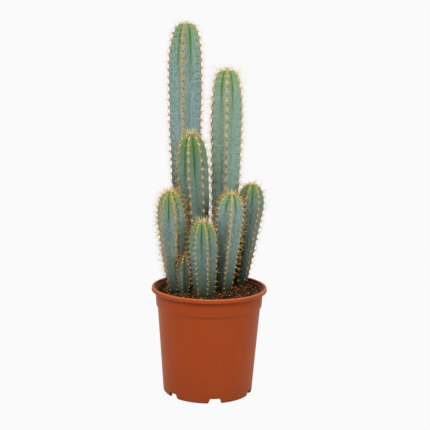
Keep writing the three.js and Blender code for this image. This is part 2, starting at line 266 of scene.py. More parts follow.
# %% The skin formula
FOOT_FURROW_DEPTH = 0.14
FURROW_DEEPENS = 1.6
FLANK_BULGE = 0.035
CREST_ROUNDING = 0.055


def unit(vectors):
    return vectors / np.linalg.norm(vectors, axis=-1, keepdims=True)


def axis_point(column, share):
    share = np.asarray(share, float)[..., None]
    back = 1 - share
    return back**2 * column["low"] + 2 * back * share * column["middle"] + share**2 * column["high"]


def section_frame(column, share):
    share = np.asarray(share, float)[..., None]
    first = column["middle"] - column["low"]
    second = column["high"] - column["middle"]
    along = unit((1 - share) * first + share * second)
    level = np.array([1.0, 0, 0])
    side = unit(level - along * along[..., :1])
    return along, side, np.cross(along, side)


def across(column, share, angle):
    along, side, back = section_frame(column, share)
    angle = np.asarray(angle, float)[..., None]
    return side * np.sin(angle) - back * np.cos(angle)


def crest_radius(column, share):
    share = np.asarray(share, float)
    belly = column["belly"]
    below = np.clip(1 - share / belly, 0, 1)
    shaft = column["foot_radius"] + (column["radius"] - column["foot_radius"]) * (1 - below ** column["fill"])
    up = np.clip((share - belly) / (1 - belly), 0, 1)
    return np.where(share < belly, shaft, column["radius"] * (1 - up * up) ** column["blunt"])


def rib_phase(column, angle):
    half = math.pi / column["ribs"]
    return (np.asarray(angle) - math.radians(column["turn"]) + half) % (2 * half) - half


def rib_share(column, share, angle):
    half = math.pi / column["ribs"]
    phase = rib_phase(column, angle)
    soft = np.sqrt(phase**2 + CREST_ROUNDING**2) - CREST_ROUNDING
    phase = soft * half / (math.sqrt(half**2 + CREST_ROUNDING**2) - CREST_ROUNDING)
    deepened = np.minimum(1, np.asarray(share) * FURROW_DEEPENS)
    depth = FOOT_FURROW_DEPTH + (column["furrow"] - FOOT_FURROW_DEPTH) * deepened
    furrow = 1 - depth
    flank = furrow * math.sin(half) / (furrow * np.sin(half - phase) + np.sin(phase))
    return flank * (1 + FLANK_BULGE * np.sin(math.pi * phase / half))


def skin_point(column, share, angle):
    radius = crest_radius(column, share) * rib_share(column, share, angle)
    return axis_point(column, share) + across(column, share, angle) * radius[..., None]


print("belly radius of the tallest, mm:", float(crest_radius(COLUMNS[0], COLUMNS[0]["belly"])))

# %% [markdown]
# The columns stand close. The same formula, turned round, tells how far any point is from the other
# columns' skins. That paints shade on the skin in a narrow gap, and later it keeps the spines out of a
# neighbour.

# %% Gaps between the columns
FAR_AWAY = 99.0


def gap_to(other, point):
    share = (point[:, 2] - other["low"][2]) / other["height"]
    inside = np.clip(share, 0, 1)
    offset = point - axis_point(other, inside)
    angle = np.arctan2(offset[:, 0], -offset[:, 1])
    skin = crest_radius(other, inside) * rib_share(other, inside, angle)
    return np.where(share < 1, np.hypot(offset[:, 0], offset[:, 1]) - skin, FAR_AWAY)


def gap_to_others(column, point):
    return np.min([gap_to(other, point) for other in COLUMNS if other is not column], axis=0)


def closeness(column, point, reach):
    return np.exp(-np.clip(gap_to_others(column, point), 0, FAR_AWAY) / reach)


print("axis to the nearest neighbour, mm:",
      {c["name"]: round(float(gap_to_others(c, axis_point(c, [0.5]))[0]), 1) for c in COLUMNS})

# %% [markdown]
# Areoles, the felted pads that carry the spines, stand in a row along each crest. Walking up the crest and
# stopping at even steps places them, closer together over the dome as the real ones are. Every rib starts
# at its own small offset, so that the rows don't line up into rings. The walk is kept, because the skin
# between two areoles has its own small forms.

# %% Areole places
HIGHEST_AREOLE = 0.9996
NEARLY_TIP = 0.99998
LOOK_AHEAD = 0.002
CROWDED_BELOW_TIP = 34.0
YOUNG_BELOW_TIP = 90.0
PACE_AT_TIP, PACE_GAIN = 0.62, 0.38
FIRST_STEP, STEP_SPREAD, LAST_STEP = 0.2, 0.6, 0.2
CREST_SAMPLES = 900


def crest_walk(column, rib, chance):
    offset = FIRST_STEP + STEP_SPREAD * chance.random()
    angle = math.radians(column["turn"]) + rib * 2 * math.pi / column["ribs"]
    shares = np.linspace(0, HIGHEST_AREOLE, CREST_SAMPLES)
    points = skin_point(column, shares, np.full_like(shares, angle))
    steps = np.linalg.norm(np.diff(points, axis=0), axis=1)
    walked = np.concatenate([[0], np.cumsum(steps)])
    crowd = np.clip((walked[-1] - walked) / CROWDED_BELOW_TIP, 0, 1)
    pace = column["pitch"] * (PACE_AT_TIP + PACE_GAIN * crowd)
    counted = np.concatenate([[0], np.cumsum(steps / pace[1:])]) - offset
    return dict(angle=angle, shares=shares, walked=walked, counted=counted, pace=pace)


def areoles_on(column, walk):
    stops = np.arange(0, walk["counted"][-1] - LAST_STEP, 1.0)
    shares = np.interp(stops, walk["counted"], walk["shares"])
    angles = np.full_like(shares, walk["angle"])
    at = skin_point(column, shares, angles)
    up = unit(skin_point(column, np.minimum(shares + LOOK_AHEAD, NEARLY_TIP), angles) - at)
    out = across(column, shares, angles)
    out = unit(out - up * np.sum(out * up, axis=1, keepdims=True))
    grown = np.clip((walk["walked"][-1] - walk["walked"]) / YOUNG_BELOW_TIP, 0, 1)
    young = 1 - np.interp(shares, walk["shares"], grown)
    return dict(at=at, up=up, out=out, aside=np.cross(up, out), share=shares, young=young)


def gather(rows):
    return {key: np.concatenate([row[key] for row in rows]) for key in rows[0]}


for number, column in enumerate(COLUMNS):
    chance = np.random.default_rng(11 + number)
    column["walks"] = [crest_walk(column, rib, chance) for rib in range(column["ribs"])]
    column["areoles"] = gather([areoles_on(column, walk) for walk in column["walks"]])
print("areoles:", {c["name"]: len(c["areoles"]["share"]) for c in COLUMNS})

# %% [markdown]
# Effects that several finishes share are node groups. The first mixes two colours by cloudy noise, which
# can be stretched along the height: that is the brushed mottling of the skin, the weathering of the pot
# and the difference between bits of bark. The second is a fine relief for a Bump node. The smooth ramp and
# the mix of two colours that they need serve the materials as well.

# %% Shared effects: uneven tone and fine relief
SOCKET_KINDS = {1: "NodeSocketFloat", 3: "NodeSocketVector", 4: "NodeSocketColor"}
EVEN = (1, 1, 1)


def srgb(red, green, blue):
    def straighten(value):
        value /= 255
        return value / 12.92 if value <= 0.04045 else ((value + 0.055) / 1.055) ** 2.4

    return tuple(straighten(v) for v in (red, green, blue)) + (1.0,)


def ramp(tree, value, low, high, top=1.0):
    feeds = {"Value": value, "From Min": low, "From Max": high, "To Max": top}
    return add_node(tree, "ShaderNodeMapRange", feeds, interpolation_type="SMOOTHSTEP").outputs["Result"]


def mixed(tree, mask, under, over):
    feeds = {"Factor": mask, "A": under, "B": over}
    return add_node(tree, "ShaderNodeMix", feeds, data_type="RGBA").outputs["Result"]


def new_group(name, inputs, output, output_kind):
    group = bpy.data.node_groups.new(name, "ShaderNodeTree")
    for label, start in inputs.items():
        kind = SOCKET_KINDS[len(start) if isinstance(start, tuple) else 1]
        group.interface.new_socket(label, in_out="INPUT", socket_type=kind).default_value = start
    group.interface.new_socket(output, in_out="OUTPUT", socket_type=output_kind)
    return group, add_node(group, "NodeGroupInput").outputs, add_node(group, "NodeGroupOutput").inputs


def stretched_noise(group, given, detail, roughness):
    place = add_node(group, "ShaderNodeTexCoord").outputs["Object"]
    feeds = {0: place, 1: given["Stretch"]}
    scaled = add_node(group, "ShaderNodeVectorMath", feeds, operation="MULTIPLY").outputs[0]
    feeds = {"Vector": scaled, "Scale": given["Scale"], "Detail": detail, "Roughness": roughness}
    return add_node(group, "ShaderNodeTexNoise", feeds).outputs["Fac"]


def make_uneven_tone():
    inputs = {"Base": (0.5, 0.5, 0.5, 1), "Other": (0.2, 0.2, 0.2, 1), "Scale": 100.0, "Stretch": EVEN,
              "From": 0.4, "To": 0.6, "Amount": 1.0}
    group, given, result = new_group("uneven_tone", inputs, "Color", "NodeSocketColor")
    mask = ramp(group, stretched_noise(group, given, 3.0, 0.6), given["From"], given["To"], given["Amount"])
    feed(group, result["Color"], mixed(group, mask, given["Base"], given["Other"]))
    return group


def make_fine_relief():
    inputs = {"Scale": 800.0, "Stretch": EVEN}
    group, given, result = new_group("fine_relief", inputs, "Height", "NodeSocketFloat")
    feed(group, result["Height"], stretched_noise(group, given, 4.0, 0.65))
    return group


UNEVEN_TONE = make_uneven_tone()
FINE_RELIEF = make_fine_relief()
print("shared effects:", UNEVEN_TONE.name, FINE_RELIEF.name)

# %% [markdown]
# A finish is painted in layers, from the bottom up, as on the real thing. To mottle is to lay cloudy
# patches of a colour over what is there, with the size of the noise, its stretch, where the patches begin
# and are full, and how much they hide. To cover is to lay a colour on by a mask: the name of a value that
# the mesh carries at each point, or another node's output. What is the same all over the surface is set on
# the shader itself.

# %% Painting in layers
class Finish:
    def __init__(self, name, colour, roughness, ground=None):
        self.material, self.shader = plain_material(name, colour, roughness)
        self.tree = self.material.node_tree
        self.colour = ground or colour

    def value(self, given):
        if isinstance(given, str):
            return add_node(self.tree, "ShaderNodeAttribute", attribute_name=given).outputs["Fac"]
        return given

    def ramp(self, given, low, high, top=1.0):
        return ramp(self.tree, self.value(given), low, high, top)

    def both(self, one, two):
        feeds = {0: self.value(one), 1: self.value(two)}
        return add_node(self.tree, "ShaderNodeMath", feeds, operation="MULTIPLY").outputs[0]

    def uneven(self, base, other, scale, stretch, start, full, amount):
        feeds = {"Base": base, "Other": other, "Scale": scale, "Stretch": stretch, "From": start, "To": full,
                 "Amount": amount}
        return add_node(self.tree, "ShaderNodeGroup", feeds, node_tree=UNEVEN_TONE).outputs["Color"]

    def mottle(self, other, scale, stretch, start, full, amount):
        self.colour = self.uneven(self.colour, other, scale, stretch, start, full, amount)

    def cover(self, mask, colour):
        self.colour = mixed(self.tree, self.value(mask), self.colour, colour)

    def relief(self, scale, depth, stretch, strength):
        feeds = {"Scale": scale, "Stretch": stretch}
        height = add_node(self.tree, "ShaderNodeGroup", feeds, node_tree=FINE_RELIEF).outputs["Height"]
        feeds = {"Height": height, "Distance": depth, "Strength": strength}
        bump = add_node(self.tree, "ShaderNodeBump", feeds).outputs["Normal"]
        feed(self.tree, self.shader.inputs["Normal"], bump)

    def done(self, same_all_over=None):
        feed(self.tree, self.shader.inputs["Base Color"], self.colour)
        for socket, value in (same_all_over or {}).items():
            self.shader.inputs[socket].default_value = value
        return self.material


print("ways to paint:", [name for name in vars(Finish) if not name.startswith("_")])

# %% [markdown]
# The skin is waxy. A grey-blue bloom lies over the green and shows as fine brushed streaks along the stem,
# with pale and green specks and some dust. The wax is thin where the plant is young, so the tip is greener
# and its crests are yellow-green, and the fold at the bottom of each furrow stays dark green near the tip.
# The crests are dry and paler, one of them with a dusty line beside it. Painted shade darkens the small
# dents between the areoles, and dark beads of painted shadow lie on the crest between them. Where the
# columns crowd and on the side that faces the clump, painted shade lies over brown cork, and painted
# shade darkens the foot just above the mix.

# %% Skin finish
BLOOM = srgb(124, 149, 144)
UNDER_GREEN = srgb(92, 124, 110)
BLOOM_WARM = srgb(150, 144, 128)
BLOOM_PALE = srgb(146, 166, 158)
BLOOM_BLUE = srgb(126, 152, 172)
LEAF_GREEN = srgb(132, 162, 124)
SHADE_GREEN = srgb(48, 78, 62)
SPECK_GREEN = srgb(76, 112, 96)
TIP_GREEN = srgb(106, 142, 56)
CREST_YOUNG = srgb(168, 190, 72)
CREST_DRY = srgb(156, 150, 112)
DUST_LINE = srgb(186, 180, 164)
FURROW_GREEN = srgb(62, 114, 12)
DENT_SHADE_GREEN = srgb(48, 80, 44)
FOOT_SHADE_GREEN = srgb(38, 52, 30)
SHADE_AND_CORK_BROWN = srgb(30, 24, 13)
UP_THE_STEM = (1, 1, 0.16)


def make_skin():
    skin = Finish("waxy_skin", BLOOM, 0.6)
    skin.mottle(UNDER_GREEN, 420, UP_THE_STEM, 0.42, 0.68, 0.7)
    skin.mottle(BLOOM_PALE, 60, (1, 1, 0.5), 0.45, 0.7, 0.45)
    skin.mottle(BLOOM_WARM, 34, (1, 1, 0.4), 0.5, 0.75, 0.4)
    skin.mottle(BLOOM_PALE, 560, (1, 1, 0.5), 0.5, 0.6, 0.95)
    skin.mottle(SPECK_GREEN, 430, (1, 1, 0.6), 0.53, 0.63, 0.75)
    skin.cover("blue", BLOOM_BLUE)
    skin.cover("leafy", LEAF_GREEN)
    skin.cover(skin.ramp("young", 0.1, 1.0, 0.85), TIP_GREEN)
    skin.cover(skin.ramp("phase", 0.2, 0.03, 0.55), CREST_DRY)
    beside = skin.both(skin.ramp("phase", 0.08, 0.16), skin.ramp("phase", 0.36, 0.24, 0.85))
    skin.cover(skin.both(beside, "line"), DUST_LINE)
    crest = skin.both(skin.ramp("phase", 0.3, 0.02), skin.ramp("rim", 0.15, 0.9, 0.9))
    skin.cover(crest, CREST_YOUNG)
    fold = skin.both(skin.ramp("phase", 0.7, 0.93), skin.ramp("fold", 0.0, 0.4, 0.95))
    skin.cover(fold, FURROW_GREEN)
    # painted shade in the dents and painted spine shadows on the crest
    skin.cover(skin.ramp("dent", 0.1, 0.9, 0.8), DENT_SHADE_GREEN)
    skin.cover("shade", SHADE_GREEN)
    # painted shade over brown cork, on the side that faces the clump and where the columns crowd
    skin.cover("inner", skin.uneven(SHADE_AND_CORK_BROWN, FOOT_SHADE_GREEN, 160, (1, 1, 0.5), 0.45, 0.6, 0.7))
    # painted shade: the foot darkens just above the mix
    skin.cover("foot", FOOT_SHADE_GREEN)
    skin.relief(700, 0.0006, (1, 1, 0.3), 0.45)
    return skin.done({"Specular IOR Level": 0.3})


SKIN = make_skin()
print("skin finish:", SKIN.name)

# %% [markdown]
# No two columns look alike: the tallest is bluer, others are leafier or darkened with painted shade, and each
# faces the crowded middle of the clump with another side, where painted shade lies over brown cork. The
# differences are one table again, so the finish stays a single material that reads them from the mesh.

# %% What sets the columns apart
give(
    young_mm=(80, 60, 70, 45, 48, 36, 40, 26),  # how far down the tip is green
    fold_mm=(105, 90, 92, 58, 54, 38, 44, 22),  # how far down the folds are green
    tip_most=(0.72, 0.78, 1, 1, 1, 1, 1, 1),
    fold_most=(0.5, 0.45, 0.85, 1, 1, 1, 1, 1),
    rim=(0.62, 0.6, 1, 0.9, 0.9, 0.9, 0.9, 0.9),  # yellow-green on the young crests
    leafy=(0.05, 0.44, 0.25, 0.15, 0.25, 0.15, 0.34, 0.3),
    blue=(0.28, 0.1, 0, 0, 0.06, 0.05, 0, 0),
    shade=(0.03, 0, 0.33, 0.06, 0.3, 0.03, 0.27, 0.26),
    low_shade=(0, 0, 0.17, 0, 0, 0, 0, 0),
    line=(-0.6, -0.6, -0.4, 0.5, 0.8, 0.9, 0.4, 0.3),  # dusty line beside the front crest, left or right
    # dents also carry painted shade; shadow beads are painted spine shadows on the crest
    dents=(0.8, 0.65, 0.3, 0.12, 0.1, 0.15, 0.15, 0.1),
    beads=(0.9, 0.8, 0.3, 0, 0, 0, 0, 0),
    # painted shade over brown cork: the side that faces the clump, how wide it is, where it ends, how strong
    inner=(-50, -112, 80, 88, 150, -88, -75, 60),  # degrees to the brown side that faces the clump
    inner_from=(-0.7, 0.55, 0.2, 0.45, 0.1, 0.35, -0.1, 0.1),  # less is a wider side
    inner_top=(376, 334, 300, 262, 240, 265, 290, 200),  # where the brown ends
    inner_most=(0.75, 1, 1, 0.3, 1, 1, 1, 1),
    # painted shade at the foot: how far up it reaches
    foot_dark=(60, 40, 50, 50, 106, 108, 110, 40),  # how far up the foot is dark
)
print("green tips, mm:", {c["name"]: c["young_mm"] for c in COLUMNS})

# %% [markdown]
# Every finer piece goes the same way into the scene: points in millimetres and faces become a mesh, values
# for the finish are stored at its points, and the measured node that it replaces is hidden. Most shapes
# are closed grids, rings of points with a cap at each end.

# %% Helpers for meshes
def closed_grid(rings, around):
    ring, step = np.meshgrid(np.arange(rings - 1), np.arange(around), indexing="ij")
    low = ring * around + step
    low_next = ring * around + (step + 1) % around
    return np.stack([low, low_next, low_next + around, low + around], axis=-1).reshape(-1, 4).tolist()


def capped_grid(rings, around):
    faces = closed_grid(rings, around)
    bottom, top = rings * around, rings * around + 1
    last = (rings - 1) * around
    for step in range(around):
        onward = (step + 1) % around
        faces.append([bottom, onward, step])
        faces.append([top, last + step, last + onward])
    return faces


def copied_faces(faces, count, points_each):
    return [[corner + points_each * copy for corner in face] for copy in range(count) for face in faces]


def store(mesh, values):
    for label, numbers in values.items():
        layer = mesh.attributes.new(label, "FLOAT", "POINT")
        layer.data.foreach_set("value", np.asarray(numbers, np.float32).ravel())


def make_piece(name, points, faces, material, slot, node, **values):
    mesh = bpy.data.meshes.new(name)
    mesh.from_pydata((np.asarray(points) * MM).tolist(), [], faces)
    store(mesh, values)
    mesh.materials.append(material)
    mesh.shade_smooth()
    piece = bpy.data.objects.new(name, mesh)
    bpy.context.scene.collection.objects.link(piece)
    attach(piece, "root")
    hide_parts(node)
    return piece


def near(distance, reach):
    return np.clip(1 - distance / reach, 0, 1)


def below(height, top, over):
    return np.clip((top - height) / over, 0, 1)


def hill(*ways):
    return np.exp(-sum(way**2 for way in ways))


print("faces of a capped grid of 4 rings of 10:", len(capped_grid(4, 10)))

# %% [markdown]
# The skin mesh is a grid: rings up the column and points round the ribs, closer together at the crest and
# at the fold than on the flanks. The areoles push the crest out a little, and a shallow dent crosses the
# rib between two of them, each with a strength of its own, darkened with painted shade. On the crest in
# between lie dark beads of painted shadow, for the shadows of the spines.

# %% Rings, ribs and their relief
RING_PITCH = 1.3
AROUND = np.array([0, 0.05, 0.12, 0.21, 0.33, 0.48, 0.64, 0.8, 0.92, 0.975, 1.0])
AREOLE_SWELL, SWELL_LENGTH, SWELL_WIDTH = 0.8, 3.2, 3.0
DENT_DEPTH, DENT_LENGTH, DENT_ASIDE, DENT_WIDTH = 0.5, 1.25, 4.6, 4.2
SHADOW_BEAD_LENGTH, SHADOW_BEAD_WIDTH = 2.4, 1.5
WEAKEST_DENT, DENT_SPREAD, FRONT_DENTS = 0.6, 0.4, 0.35


def rib_angles(column):
    half = math.pi / column["ribs"]
    steps = np.concatenate([-AROUND[1:-1][::-1], AROUND]) * half
    starts = math.radians(column["turn"]) + np.arange(column["ribs"]) * 2 * half
    rib = np.repeat(np.arange(column["ribs"]), steps.size)
    return (starts[:, None] + steps).ravel(), rib


def ring_places(column):
    walk = column["walks"][0]
    rings = int(walk["walked"][-1] / RING_PITCH)
    shares = np.interp(np.linspace(0, walk["walked"][-1], rings), walk["walked"], walk["shares"])
    return shares, np.interp(shares, walk["shares"], walk["walked"])


def rib_relief(column, shares, angles, rib):
    count = np.stack([np.interp(shares, w["shares"], w["counted"]) for w in column["walks"]], axis=1)[:, rib]
    pace = np.interp(shares, column["walks"][0]["shares"], column["walks"][0]["pace"])[:, None]
    phase = rib_phase(column, angles)
    sideways = np.abs(phase)[None, :] * crest_radius(column, shares)[:, None]
    from_areole = (count - np.round(count)) * pace
    from_midway = (np.abs(count - np.round(count)) - 0.5) * pace
    above_first = count > -0.5
    swell = AREOLE_SWELL * hill(from_areole / SWELL_LENGTH, sideways / SWELL_WIDTH)
    dent = hill(from_midway / DENT_LENGTH, (sideways - DENT_ASIDE) / DENT_WIDTH)
    dent = dent * above_first * column["dents"]
    # each dent's own strength: a fixed scramble of its number, the same in every run
    ragged = np.sin(np.floor(count) * 12.9898 + rib * 4.1 + 2 * np.sign(phase)) * 0.5 + 0.5
    dent = dent * (WEAKEST_DENT + DENT_SPREAD * ragged) * np.where(rib == 0, FRONT_DENTS, 1.0)
    # painted spine shadow: a dark bead on the crest between two areoles
    bead = hill(from_midway / SHADOW_BEAD_LENGTH, sideways / SHADOW_BEAD_WIDTH) * above_first * column["beads"]
    return swell - DENT_DEPTH * dent, np.maximum(dent, bead)


print("points round a rib:", 2 * len(AROUND) - 2)

# %% [markdown]
# A slow waver, three waves of seeded chance, keeps the ribs from looking turned on a lathe, and a few rings
# go down into the potting mix. Each point of the smooth formula is moved outwards by its relief alone. That
# keeps the measured size, which is harder to hold when a mesh is sculpted by hand.

# %% Skin grid
WAVER = 0.28
WAVES = ((1, 46.0), (2, 31.0), (3, 19.0))  # how many round the stem, and half their length up it
SMOOTH_TIP_RADIUS = 8.0
DEEPEST = 12.0
BURIED_RINGS = (1, 0.6, 0.25)


def skin_grid(column, chance, angles, rib, shares, walked):
    lift, dent = rib_relief(column, shares, angles, rib)
    lift = lift * np.clip(crest_radius(column, shares) / SMOOTH_TIP_RADIUS, 0, 1)[:, None]
    for turns, wave in WAVES:
        start = chance.random() * 2 * math.pi
        lift = lift + WAVER / turns * np.sin(turns * angles + walked[:, None] / wave * math.pi + start)
    share, angle = np.meshgrid(shares, angles, indexing="ij")
    body = skin_point(column, share, angle) + lift[..., None] * across(column, share, angle)
    along = section_frame(column, 0.0)[0]
    buried = np.stack([body[0] - along * (DEEPEST * part) for part in BURIED_RINGS])
    bottom = column["low"] - along * DEEPEST
    dents = np.concatenate([np.zeros(buried.shape[:2]), dent])
    return np.concatenate([buried, body]), bottom, dents


print("rings under the mix:", len(BURIED_RINGS))

# %% [markdown]
# The finish reads values that the mesh carries at its points: heights fade the bloom and the painted shade,
# the way up from the foot gives the painted shade at the foot and the way down from the tip the young skin,
# and the gaps to the other columns give the painted shade over brown cork on the crowded sides. Values on
# the mesh follow the plant's own form, which texture coordinates alone would not.

# %% Values for the skin finish
# painted shade in the narrow gaps between the columns
CROWD_SHADE_REACH, CROWD_SHADE_MOST = 6.5, 1.8
LEAFY_FROM, LEAFY_OVER, LEAFY_LEAST = 220, 180, 0.25
LOW_SHADE_BELOW, LOW_SHADE_OVER = 300, 90
BLUE_BELOW, BLUE_OVER = 470, 60
SHADE_AND_CORK_OVER, SHADE_AND_CORK_TURN = 80, 0.5
LINE_FROM_FOOT = 60.0
FOOT_SHADE_FADE = 2.2
FAR_FROM_TIP = 999.0


def skin_values(column, grid, dents, angles, rib, walked):
    def at_points(value, at_bottom=0.0, at_tip=0.0):
        return np.append(np.broadcast_to(value, grid.shape[:2]), [at_bottom, at_tip])

    level = grid[..., 2]
    buried = np.zeros(len(BURIED_RINGS))
    to_tip = np.concatenate([buried + FAR_FROM_TIP, walked[-1] - walked])[:, None]
    rise = np.concatenate([buried, walked])[:, None]
    phase = rib_phase(column, angles)
    facing = np.cos(angles - math.radians(column["inner"]))
    inner = np.clip((facing - column["inner_from"]) / SHADE_AND_CORK_TURN, 0, 1)
    inner = inner * below(level, column["inner_top"], SHADE_AND_CORK_OVER) * column["inner_most"]
    # painted shade where another column stands close
    crowd_shade = closeness(column, grid.reshape(-1, 3), CROWD_SHADE_REACH).reshape(grid.shape[:2])
    dusty_side = np.sign(phase) * np.sign(column["line"]) > 0
    line = abs(column["line"]) * dusty_side * (rib == 0) * np.clip(rise / LINE_FROM_FOOT, 0, 1)
    leafy = column["leafy"] * np.clip((level - LEAFY_FROM) / LEAFY_OVER, LEAFY_LEAST, 1)
    low_shade = column["low_shade"] * below(level, LOW_SHADE_BELOW, LOW_SHADE_OVER)
    return dict(
        leafy=at_points(leafy, 0, column["leafy"]),
        shade=at_points(column["shade"] + low_shade),
        blue=at_points(column["blue"] * below(level, BLUE_BELOW, BLUE_OVER)),
        line=at_points(line),
        inner=at_points(np.clip(inner + CROWD_SHADE_MOST * crowd_shade, 0, 1)),
        young=at_points(near(to_tip, column["young_mm"]) * column["tip_most"], 0, 1),
        rim=at_points(near(to_tip, column["young_mm"]) * column["rim"], 0, 1),
        fold=at_points(near(to_tip, column["fold_mm"]) * column["fold_most"], 0, 1),
        phase=at_points(np.abs(phase) / (math.pi / column["ribs"]), 1, 0),
        dent=at_points(dents),
        # painted shade at the foot, fading upwards
        foot=at_points(near(rise, column["foot_dark"]) ** FOOT_SHADE_FADE, 1, 0),
    )


print("blue bloom below, mm:", BLUE_BELOW)

# %% [markdown]
# Grid and values together make one closed mesh for each column, with a point in the middle of its bottom
# and one at its tip. A seed for each column keeps the waver the same in every run.

# %% Column skins
def make_column_skin(column, seed):
    chance = np.random.default_rng(seed)
    angles, rib = rib_angles(column)
    shares, walked = ring_places(column)
    grid, bottom, dents = skin_grid(column, chance, angles, rib, shares, walked)
    points = np.concatenate([grid.reshape(-1, 3), [bottom], [column["high"]]])
    values = skin_values(column, grid, dents, angles, rib, walked)
    return make_piece(column["name"] + "_skin", points, capped_grid(*grid.shape[:2]), SKIN, "cactus_skin",
                      column["name"], **values)


for number, column in enumerate(COLUMNS):
    column["skin"] = make_column_skin(column, 31 + number)
print("skin faces:", {c["name"]: len(c["skin"].data.polygons) for c in COLUMNS})

# %% [markdown]
# Each areole is a small oval cushion of felt, orange on the tallest column and peach on the others, matted
# with brown, and darker where it is old. The short fibres of felt catch the light at its edge, which is
# what the shader's sheen is for.

# %% Areole felt
FELT_ORANGE = srgb(214, 134, 72)
FELT_PEACH = srgb(226, 194, 140)
FELT_BROWN = srgb(176, 122, 70)
FELT_OLD = srgb(158, 112, 50)


def make_felt():
    felt = Finish("areole_felt", FELT_PEACH, 0.95)
    felt.cover("orange", FELT_ORANGE)
    felt.mottle(FELT_BROWN, 900, EVEN, 0.5, 0.75, 0.4)
    felt.cover("old", FELT_OLD)
    felt.relief(2600, 0.0004, EVEN, 0.8)
    return felt.done({"Sheen Weight": 0.3, "Sheen Roughness": 0.5})


FELT = make_felt()
print("felt finish:", FELT.name)

# %% [markdown]
# One template of a low dome is copied to every areole in plain arithmetic, each copy a little different in
# size and in its lumps, and all the pads of a column are one mesh. Single objects or instances would be
# slower, and an export would lose instances.

# %% Areole pads
PAD_SIDES = 10
PAD_RINGS = [(0.42, 0.92), (0.78, 0.66), (1.0, 0.12), (0.86, -0.6)]
PAD_BOTTOM = -0.7
PAD_HALF_LENGTH, PAD_HALF_WIDTH, PAD_HEIGHT = 1.9, 1.7, 0.9
LARGEST_PAD, LEAST_PAD, PAD_PER_PITCH = 1.12, 0.4, 18
PAD_LEAST, PAD_SPREAD, PAD_LUMPS = 0.88, 0.24, 0.07
PAD_LIFT = AREOLE_SWELL * 0.55
ORANGE_SCATTER, YOUNG_ORANGE = 0.1, 0.2
OLD_BELOW = 60.0


def pad_template():
    points = [(0.0, 0.0, 1.0)]
    for reach, height in PAD_RINGS:
        for step in range(PAD_SIDES):
            turn = 2 * math.pi * step / PAD_SIDES
            points.append((reach * math.cos(turn), reach * math.sin(turn), height))
    points.append((0.0, 0.0, PAD_BOTTOM))
    faces = []
    last = 1 + (len(PAD_RINGS) - 1) * PAD_SIDES
    for step in range(PAD_SIDES):
        onward = (step + 1) % PAD_SIDES
        faces.append([0, 1 + step, 1 + onward])
        faces.append([len(points) - 1, last + onward, last + step])
        for ring in range(len(PAD_RINGS) - 1):
            low, high = 1 + ring * PAD_SIDES, 1 + (ring + 1) * PAD_SIDES
            faces.append([low + step, high + step, high + onward, low + onward])
    return np.array(points), faces


def make_pads(column, seed):
    chance = np.random.default_rng(seed)
    template, faces = pad_template()
    areoles = column["areoles"]
    count = areoles["share"].size
    size = min(LARGEST_PAD, LEAST_PAD + column["pitch"] / PAD_PER_PITCH) * column["pad_scale"]
    size = size * (PAD_LEAST + PAD_SPREAD * chance.random(count))[:, None]
    lumps = 1 + chance.normal(0, PAD_LUMPS, (count, len(template)))
    length = (template[:, 0] * PAD_HALF_LENGTH * size * lumps)[..., None]
    width = (template[:, 1] * PAD_HALF_WIDTH * size * lumps)[..., None]
    height = (template[:, 2] * PAD_HEIGHT * size * lumps + PAD_LIFT)[..., None]
    points = areoles["at"][:, None] + length * areoles["up"][:, None]
    points = points + width * areoles["aside"][:, None] + height * areoles["out"][:, None]
    orange = np.clip(column["orange"] + chance.normal(0, ORANGE_SCATTER, count), 0, 1)
    orange = orange * np.clip(12 - 12 * areoles["young"], YOUNG_ORANGE, 1)
    old = near(areoles["at"][:, 2] - FLOOR_LEVEL, OLD_BELOW)
    return make_piece(column["name"] + "_areoles", points.reshape(-1, 3),
                      copied_faces(faces, count, len(template)), FELT, "cactus_skin", column["name"],
                      orange=np.repeat(orange, len(template)), old=np.repeat(old, len(template)))


give(orange=(0.9, 0.05) + (0.15,) * 6, pad_scale=(1, 1, 1, 1, 0.88, 1.14, 1, 1))
for number, column in enumerate(COLUMNS):
    column["pads"] = make_pads(column, 51 + number)
print("pad faces:", sum(len(c["pads"].data.polygons) for c in COLUMNS))

# %% [markdown]
# A spine may not reach into the next column, the potting mix or the rim, nor out of the measured model's
# box. A needle that would do so is made shorter, step by step, until its tip and its middle are free.

# %% Room for the spines
BOX_LOW = np.array(CAD_BOX[0]) / MM + 0.25
BOX_HIGH = np.array(CAD_BOX[1]) / MM - 0.25
RIM_TOP = 161.5
INNER_RADIUS = 75.5
SPINE_CLEARANCE = 0.5
ABOVE_MIX = 1.0
SHORTENINGS, SHORTER = 14, 0.84


def blocked(column, point):
    bad = np.any((point < BOX_LOW) | (point > BOX_HIGH), axis=1)
    bad |= point[:, 2] < soil_height(point[:, 0], point[:, 1]) + ABOVE_MIX
    bad |= (point[:, 2] < RIM_TOP) & (np.hypot(point[:, 0], point[:, 1]) > INNER_RADIUS)
    return bad | (gap_to_others(column, point) < SPINE_CLEARANCE)


def fitted_lengths(column, root, direction, length):
    length = length.copy()
    for _ in range(SHORTENINGS):
        tip = root + direction * length[:, None]
        halfway = root + direction * (0.55 * length)[:, None]
        length[blocked(column, tip) | blocked(column, halfway)] *= SHORTER
    return length


print("room, mm:", BOX_LOW.round(1), BOX_HIGH.round(1))

# %% [markdown]
# The spines are golden needles, from straw to brown, a little darker at the root. Each is a thin tapered
# three-sided needle with a slight bend, and all spines of a column are one mesh. Hair curves would look as
# fine, but they don't survive an export.

